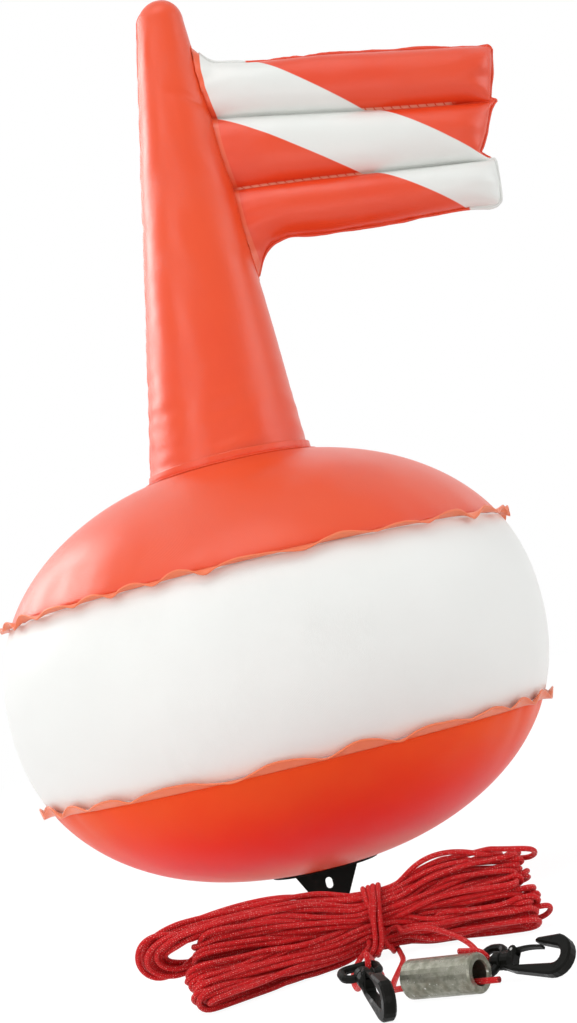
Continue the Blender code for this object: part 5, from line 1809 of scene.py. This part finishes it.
    def girth(self, points: np.ndarray) -> tuple[Vector, np.ndarray]:
        """Measure the waist.

        Args:
            points: The settled hank.

        Returns:
            The waist's middle, and how far it reaches in each direction round X.
        """
        near = points[np.abs(points[:, 0] - self.waist[0]) < 0.009]
        middle = Vector((self.waist[0], float(near[:, 1].mean()), float(near[:, 2].mean())))
        angles = np.arange(self.girth_steps) * math.tau / self.girth_steps
        outward = np.stack([np.cos(angles), np.sin(angles)])
        flat = near[:, 1:] - np.array([middle.y, middle.z])
        reach = (flat @ outward).max(axis=0)
        smooth = sum(np.roll(reach, step) for step in range(-4, 5)) / 9.0
        return middle, np.maximum(reach, smooth)

    def tie(self, hank: np.ndarray) -> list[Vector]:
        """Centre line of the tie: under the waist, up the back and over, in turns that cross at the front.

        Args:
            hank: The settled hank.

        Returns:
            The points.
        """
        middle, reach = self.girth(hank)
        offset = self.diameter + GAP
        quarter = math.pi / 2.0
        knots, places, count = self.tie_turns, self.tie_places, self.girth_steps
        points = []
        for index in range(self.tie_steps + 1):
            angle = (knots[0] + (knots[-1] - knots[0]) * index / self.tie_steps) * quarter
            turn = angle / quarter
            span = min(len(knots) - 2, max(0, sum(turn >= knot for knot in knots[1:])))
            share = (turn - knots[span]) / (knots[span + 1] - knots[span])
            eased = (1.0 - math.cos(math.pi * min(1.0, max(0.0, share)))) / 2.0
            x = places[span] + (places[span + 1] - places[span]) * eased
            slot = angle / math.tau * count
            low = int(math.floor(slot))
            part = slot - low
            near, far = reach[low % count], reach[(low + 1) % count]
            here = near * (1.0 - part) + far * part
            slope = (far - near) / (math.tau / count)
            over = 0.85 * self.diameter * math.cos(angle) ** 2 if turn > 7.0 else 0.0
            out = here + offset + over
            y = middle.y + out * math.cos(angle) - slope * math.sin(angle)
            z = middle.z + out * math.sin(angle) + slope * math.cos(angle)
            points.append(Vector((x, y, max(self.diameter / 2.0 + 0.0002, z))))
        return points

    def settled_hank(self) -> np.ndarray:
        """Wind the hank and let it settle, drawn in at its waist.

        Returns:
            The settled beads.
        """
        alone = evenly(smooth_line(self.hank(), 6), self.spacing)
        held = np.zeros(len(alone), dtype=bool)
        held[:3] = held[-3:] = True
        bundle = Beads(alone, held, self.diameter)
        rounds = self.settle_rounds
        bundle.settle(rounds, weight=0.00001, stiff=0.12, cinch=self.cinch)
        return bundle.points

    def weight_run(self) -> list[Vector]:
        """Points from the knot through the weight's bore to the tie.

        Returns:
            The points.
        """
        axis = Matrix.Rotation(math.radians(self.weight_heading), 3, "Z") @ Vector((1.0, 0.0, 0.0))
        weight_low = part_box("line_weight")[0].z
        height = weight_low + self.weight_radius - self.bore_radius + self.diameter / 2.0 + GAP
        bore = Vector((*self.weight_at, height))
        half = self.weight_length / 2.0
        run = [bore + axis * (half + self.stub), bore + axis * half * 0.5, bore - axis * half * 0.5,
               bore - axis * (half + 0.008)]
        return run + [Vector(point) for point in reversed(self.weight_lead)]

    def build(self, left_hook: SnapHook, right_hook: SnapHook) -> bpy.types.Object:
        """Lay the whole line.

        Args:
            left_hook: The left snap hook.
            right_hook: The right snap hook.

        Returns:
            The line's tube.
        """
        hank = self.settled_hank()
        before = self.weight_run()
        tie = self.tie(hank)
        between = [Vector(point) for point in reversed(self.left_back)]
        between += reversed(left_hook.hitch(self.diameter))
        between += [Vector(point) for point in reversed(self.left_out)]
        after = [Vector(point) for point in self.right_lead] + right_hook.hitch(self.diameter)
        route = before + tie + between + [Vector(point) for point in hank] + after
        steps = 8
        fine = smooth_line(route, steps)
        marks = np.arange(len(fine)) / steps
        line = evenly(fine, self.spacing)
        lengths = np.concatenate([[0.0], np.cumsum(np.linalg.norm(np.diff(fine, axis=0), axis=1))])
        mark = np.interp(np.linspace(0.0, lengths[-1], len(line)), lengths, marks)
        tie_start = len(before)
        hank_start = tie_start + len(tie) + len(between)
        hank_end = hank_start + len(hank) - 1
        in_hank = (mark > hank_start + 2) & (mark < hank_end - 2)
        hitched = (mark > tie_start + len(tie) + 2) & (mark < hank_start - 2)
        fixed = in_hank | hitched | (mark < 3.5) | (mark > hank_end + len(self.right_lead) - 1)
        beads = Beads(line, fixed, self.diameter)
        rounds = self.tie_rounds
        beads.settle(rounds, weight=0.0, stiff=0.10)
        beads.hold(~in_hank)
        beads.settle(rounds, weight=0.0, stiff=0.05)
        return self.sweep(beads.points)

    def sweep(self, line: np.ndarray) -> bpy.types.Object:
        """Run a round tube along the line and lay the braid on it.

        Args:
            line: The settled beads.

        Returns:
            The tube.
        """
        curve = bpy.data.curves.new("dive_line", "CURVE")
        curve.dimensions = "3D"
        curve.bevel_depth = self.diameter / 2.0
        curve.bevel_resolution = self.sides
        curve.use_fill_caps = True
        spline = curve.splines.new("POLY")
        spline.points.add(len(line) - 1)
        flat = np.concatenate([line, np.ones((len(line), 1))], axis=1)
        spline.points.foreach_set("co", flat.ravel())
        holder = put("dive_line_curve", curve)
        depsgraph = bpy.context.evaluated_depsgraph_get()
        mesh = bpy.data.meshes.new_from_object(holder.evaluated_get(depsgraph))
        bpy.data.objects.remove(holder)
        mesh.name = "dive_line"
        length = float(np.linalg.norm(np.diff(line, axis=0), axis=1).sum())
        layer = mesh.uv_layers[0]
        layer.name = "cord"
        uvs = np.zeros(len(mesh.loops) * 2)
        layer.data.foreach_get("uv", uvs)
        uvs[0::2] *= length
        layer.data.foreach_set("uv", uvs)
        mesh.shade_smooth()
        piece = link_piece("dive_line", mesh, CORD, Slot.ROPE, FLOAT_BODY, "line_hank", "hank_tie",
                           "left_hook_lead", "right_hook_lead", "weight_lead")
        LOG.info("line %.3f m", length)
        return piece


@dataclass
class Studio:
    """Pale floor, soft light and the camera."""

    eye: Triple = (0.0, -1.35, 0.165)
    yaw: float = 1.3395
    pitch: float = 4.5534
    roll: float = 13.5
    frame_height: float = 28.936
    floor_size: float = 6.0
    floor_drop: float = 0.0002
    floor_colour: tuple[float, float, float, float] = (0.88, 0.88, 0.88, 1.0)
    floor_glow: float = 1.12
    floor_share: float = 0.84
    world_rise: float = 0.55
    world_level: float = 0.45

    def add_camera(self) -> None:
        """Place the camera at the photograph's viewing angle."""
        yaw, pitch, roll = (math.radians(angle) for angle in (self.yaw, self.pitch, self.roll))
        data = bpy.data.cameras.new("camera")
        data.sensor_fit = "VERTICAL"
        data.angle_y = math.radians(self.frame_height)
        camera = put("camera", data)
        ahead = Vector((math.sin(yaw) * math.cos(pitch), math.cos(yaw) * math.cos(pitch), math.sin(pitch)))
        level = ahead.cross(Vector((0.0, 0.0, 1.0))).normalized()
        upright = level.cross(ahead)
        right = level * math.cos(roll) - upright * math.sin(roll)
        up = level * math.sin(roll) + upright * math.cos(roll)
        place = Matrix((right, up, -ahead)).transposed().to_4x4()
        place.translation = Vector(self.eye)
        camera.matrix_world = place
        bpy.context.scene.camera = camera

    def add_lamp(self, name: str, place: Vector, target: Vector, size: Pair, power: float) -> None:
        """Add a soft box that faces a target.

        Args:
            name: Its name.
            place: Where it stands.
            target: What it faces.
            size: Its width and height.
            power: Its power in watts.
        """
        data = bpy.data.lights.new(name, "AREA")
        data.shape = "RECTANGLE"
        data.size, data.size_y = size
        data.energy = power
        lamp = put(name, data)
        lamp.location = place
        lamp.rotation_euler = (target - place).to_track_quat("-Z", "Y").to_euler()

    def add_floor(self) -> None:
        """Lay the floor, which shows white to the camera under the shadow."""
        work = bmesh.new()
        bmesh.ops.create_grid(work, x_segments=1, y_segments=1, size=self.floor_size)
        bmesh.ops.translate(work, verts=work.verts, vec=(0.0, 0.0, -self.floor_drop))
        mesh = bpy.data.meshes.new("floor")
        work.to_mesh(mesh)
        work.free()
        material = bpy.data.materials.new("studio_floor")
        material.use_nodes = True
        desk = NodeDesk(material.node_tree)
        rays = desk.add("ShaderNodeLightPath")
        matt = desk.add("ShaderNodeBsdfDiffuse")
        desk.fill(matt, Color=self.floor_colour)
        glow = desk.add("ShaderNodeEmission")
        desk.fill(glow, Strength=self.floor_glow)
        seen = desk.maths("MAXIMUM", rays.outputs["Is Camera Ray"], rays.outputs["Is Glossy Ray"])
        blend = desk.add("ShaderNodeMixShader")
        shown = desk.times(seen, self.floor_share)
        for socket, value in zip(blend.inputs, (shown, matt.outputs[0], glow.outputs[0])):
            desk.feed(socket, value)
        desk.fill(desk.add("ShaderNodeOutputMaterial"), Surface=blend.outputs[0])
        mesh.materials.append(material)
        put("floor", mesh)

    def light_world(self) -> None:
        """Light the scene evenly, with a white background for the camera and for gloss."""
        world = bpy.data.worlds.new("studio")
        bpy.context.scene.world = world
        world.use_nodes = True
        desk = NodeDesk(world.node_tree)
        rays = desk.add("ShaderNodeLightPath")
        seen = desk.maths("MAXIMUM", rays.outputs["Is Camera Ray"], desk.maths(
            "MAXIMUM", rays.outputs["Is Glossy Ray"], rays.outputs["Is Transmission Ray"]))
        level = desk.maths("MULTIPLY_ADD", seen, self.world_rise, self.world_level)
        sky = desk.add("ShaderNodeBackground")
        desk.fill(sky, Color=(1.0, 1.0, 1.0, 1.0), Strength=level)
        desk.fill(desk.add("ShaderNodeOutputWorld"), Surface=sky.outputs[0])

    def build(self) -> None:
        """Set up the whole studio."""
        self.add_camera()
        self.add_floor()
        self.light_world()
        middle = Vector((0.0, 0.0, 0.25))
        self.add_lamp("left_box", Vector((-1.05, -1.10, 0.75)), middle, (0.30, 1.6), 6.6)
        self.add_lamp("right_box", Vector((1.6, -0.3, 0.5)), middle, (0.7, 1.5), 7.5)
        self.add_lamp("top_box", Vector((-0.2, -0.7, 1.9)), middle, (1.2, 0.8), 9.2)
        self.add_lamp("rim_box", Vector((-1.1, 0.9, 1.15)), middle, (0.7, 0.8), 11.0)
        self.add_lamp("low_box", Vector((0.1, -1.9, 0.12)), Vector((0.0, 0.0, 0.12)), (1.8, 0.5), 4.4)
        bpy.context.scene.view_settings.view_transform = "Standard"


def main() -> None:
    """Build the buoy's pieces in order."""
    logging.basicConfig(level=logging.INFO, format="%(message)s")
    Studio().build()
    left_hook = SnapHook("left", at=(0.0059, -0.3982), height=0.017341, heading=-78.0, dip=16.0, eye_roll=0.0,
                         hitch_side=0.0045)
    right_hook = SnapHook("right", at=(0.0715, -0.3960), height=0.009373, heading=-42.0, dip=2.0, eye_roll=30.0,
                          hitch_side=0.0010, tail=0.0120)
    float_part = Float()
    mast = Mast()
    pieces = [DiveLine().build(left_hook, right_hook)]
    pieces += float_part.build()
    pieces += mast.build(float_part)
    pieces += Flag().build(mast, float_part.centre)
    for part in (Valve(), Keel(), left_hook, right_hook):
        part.build()
    dress("line_weight", ZINC)
    for piece in pieces:
        LOG.info("%s: %d points", piece.name, len(piece.data.vertices))


if __name__ == "__main__":
    main()
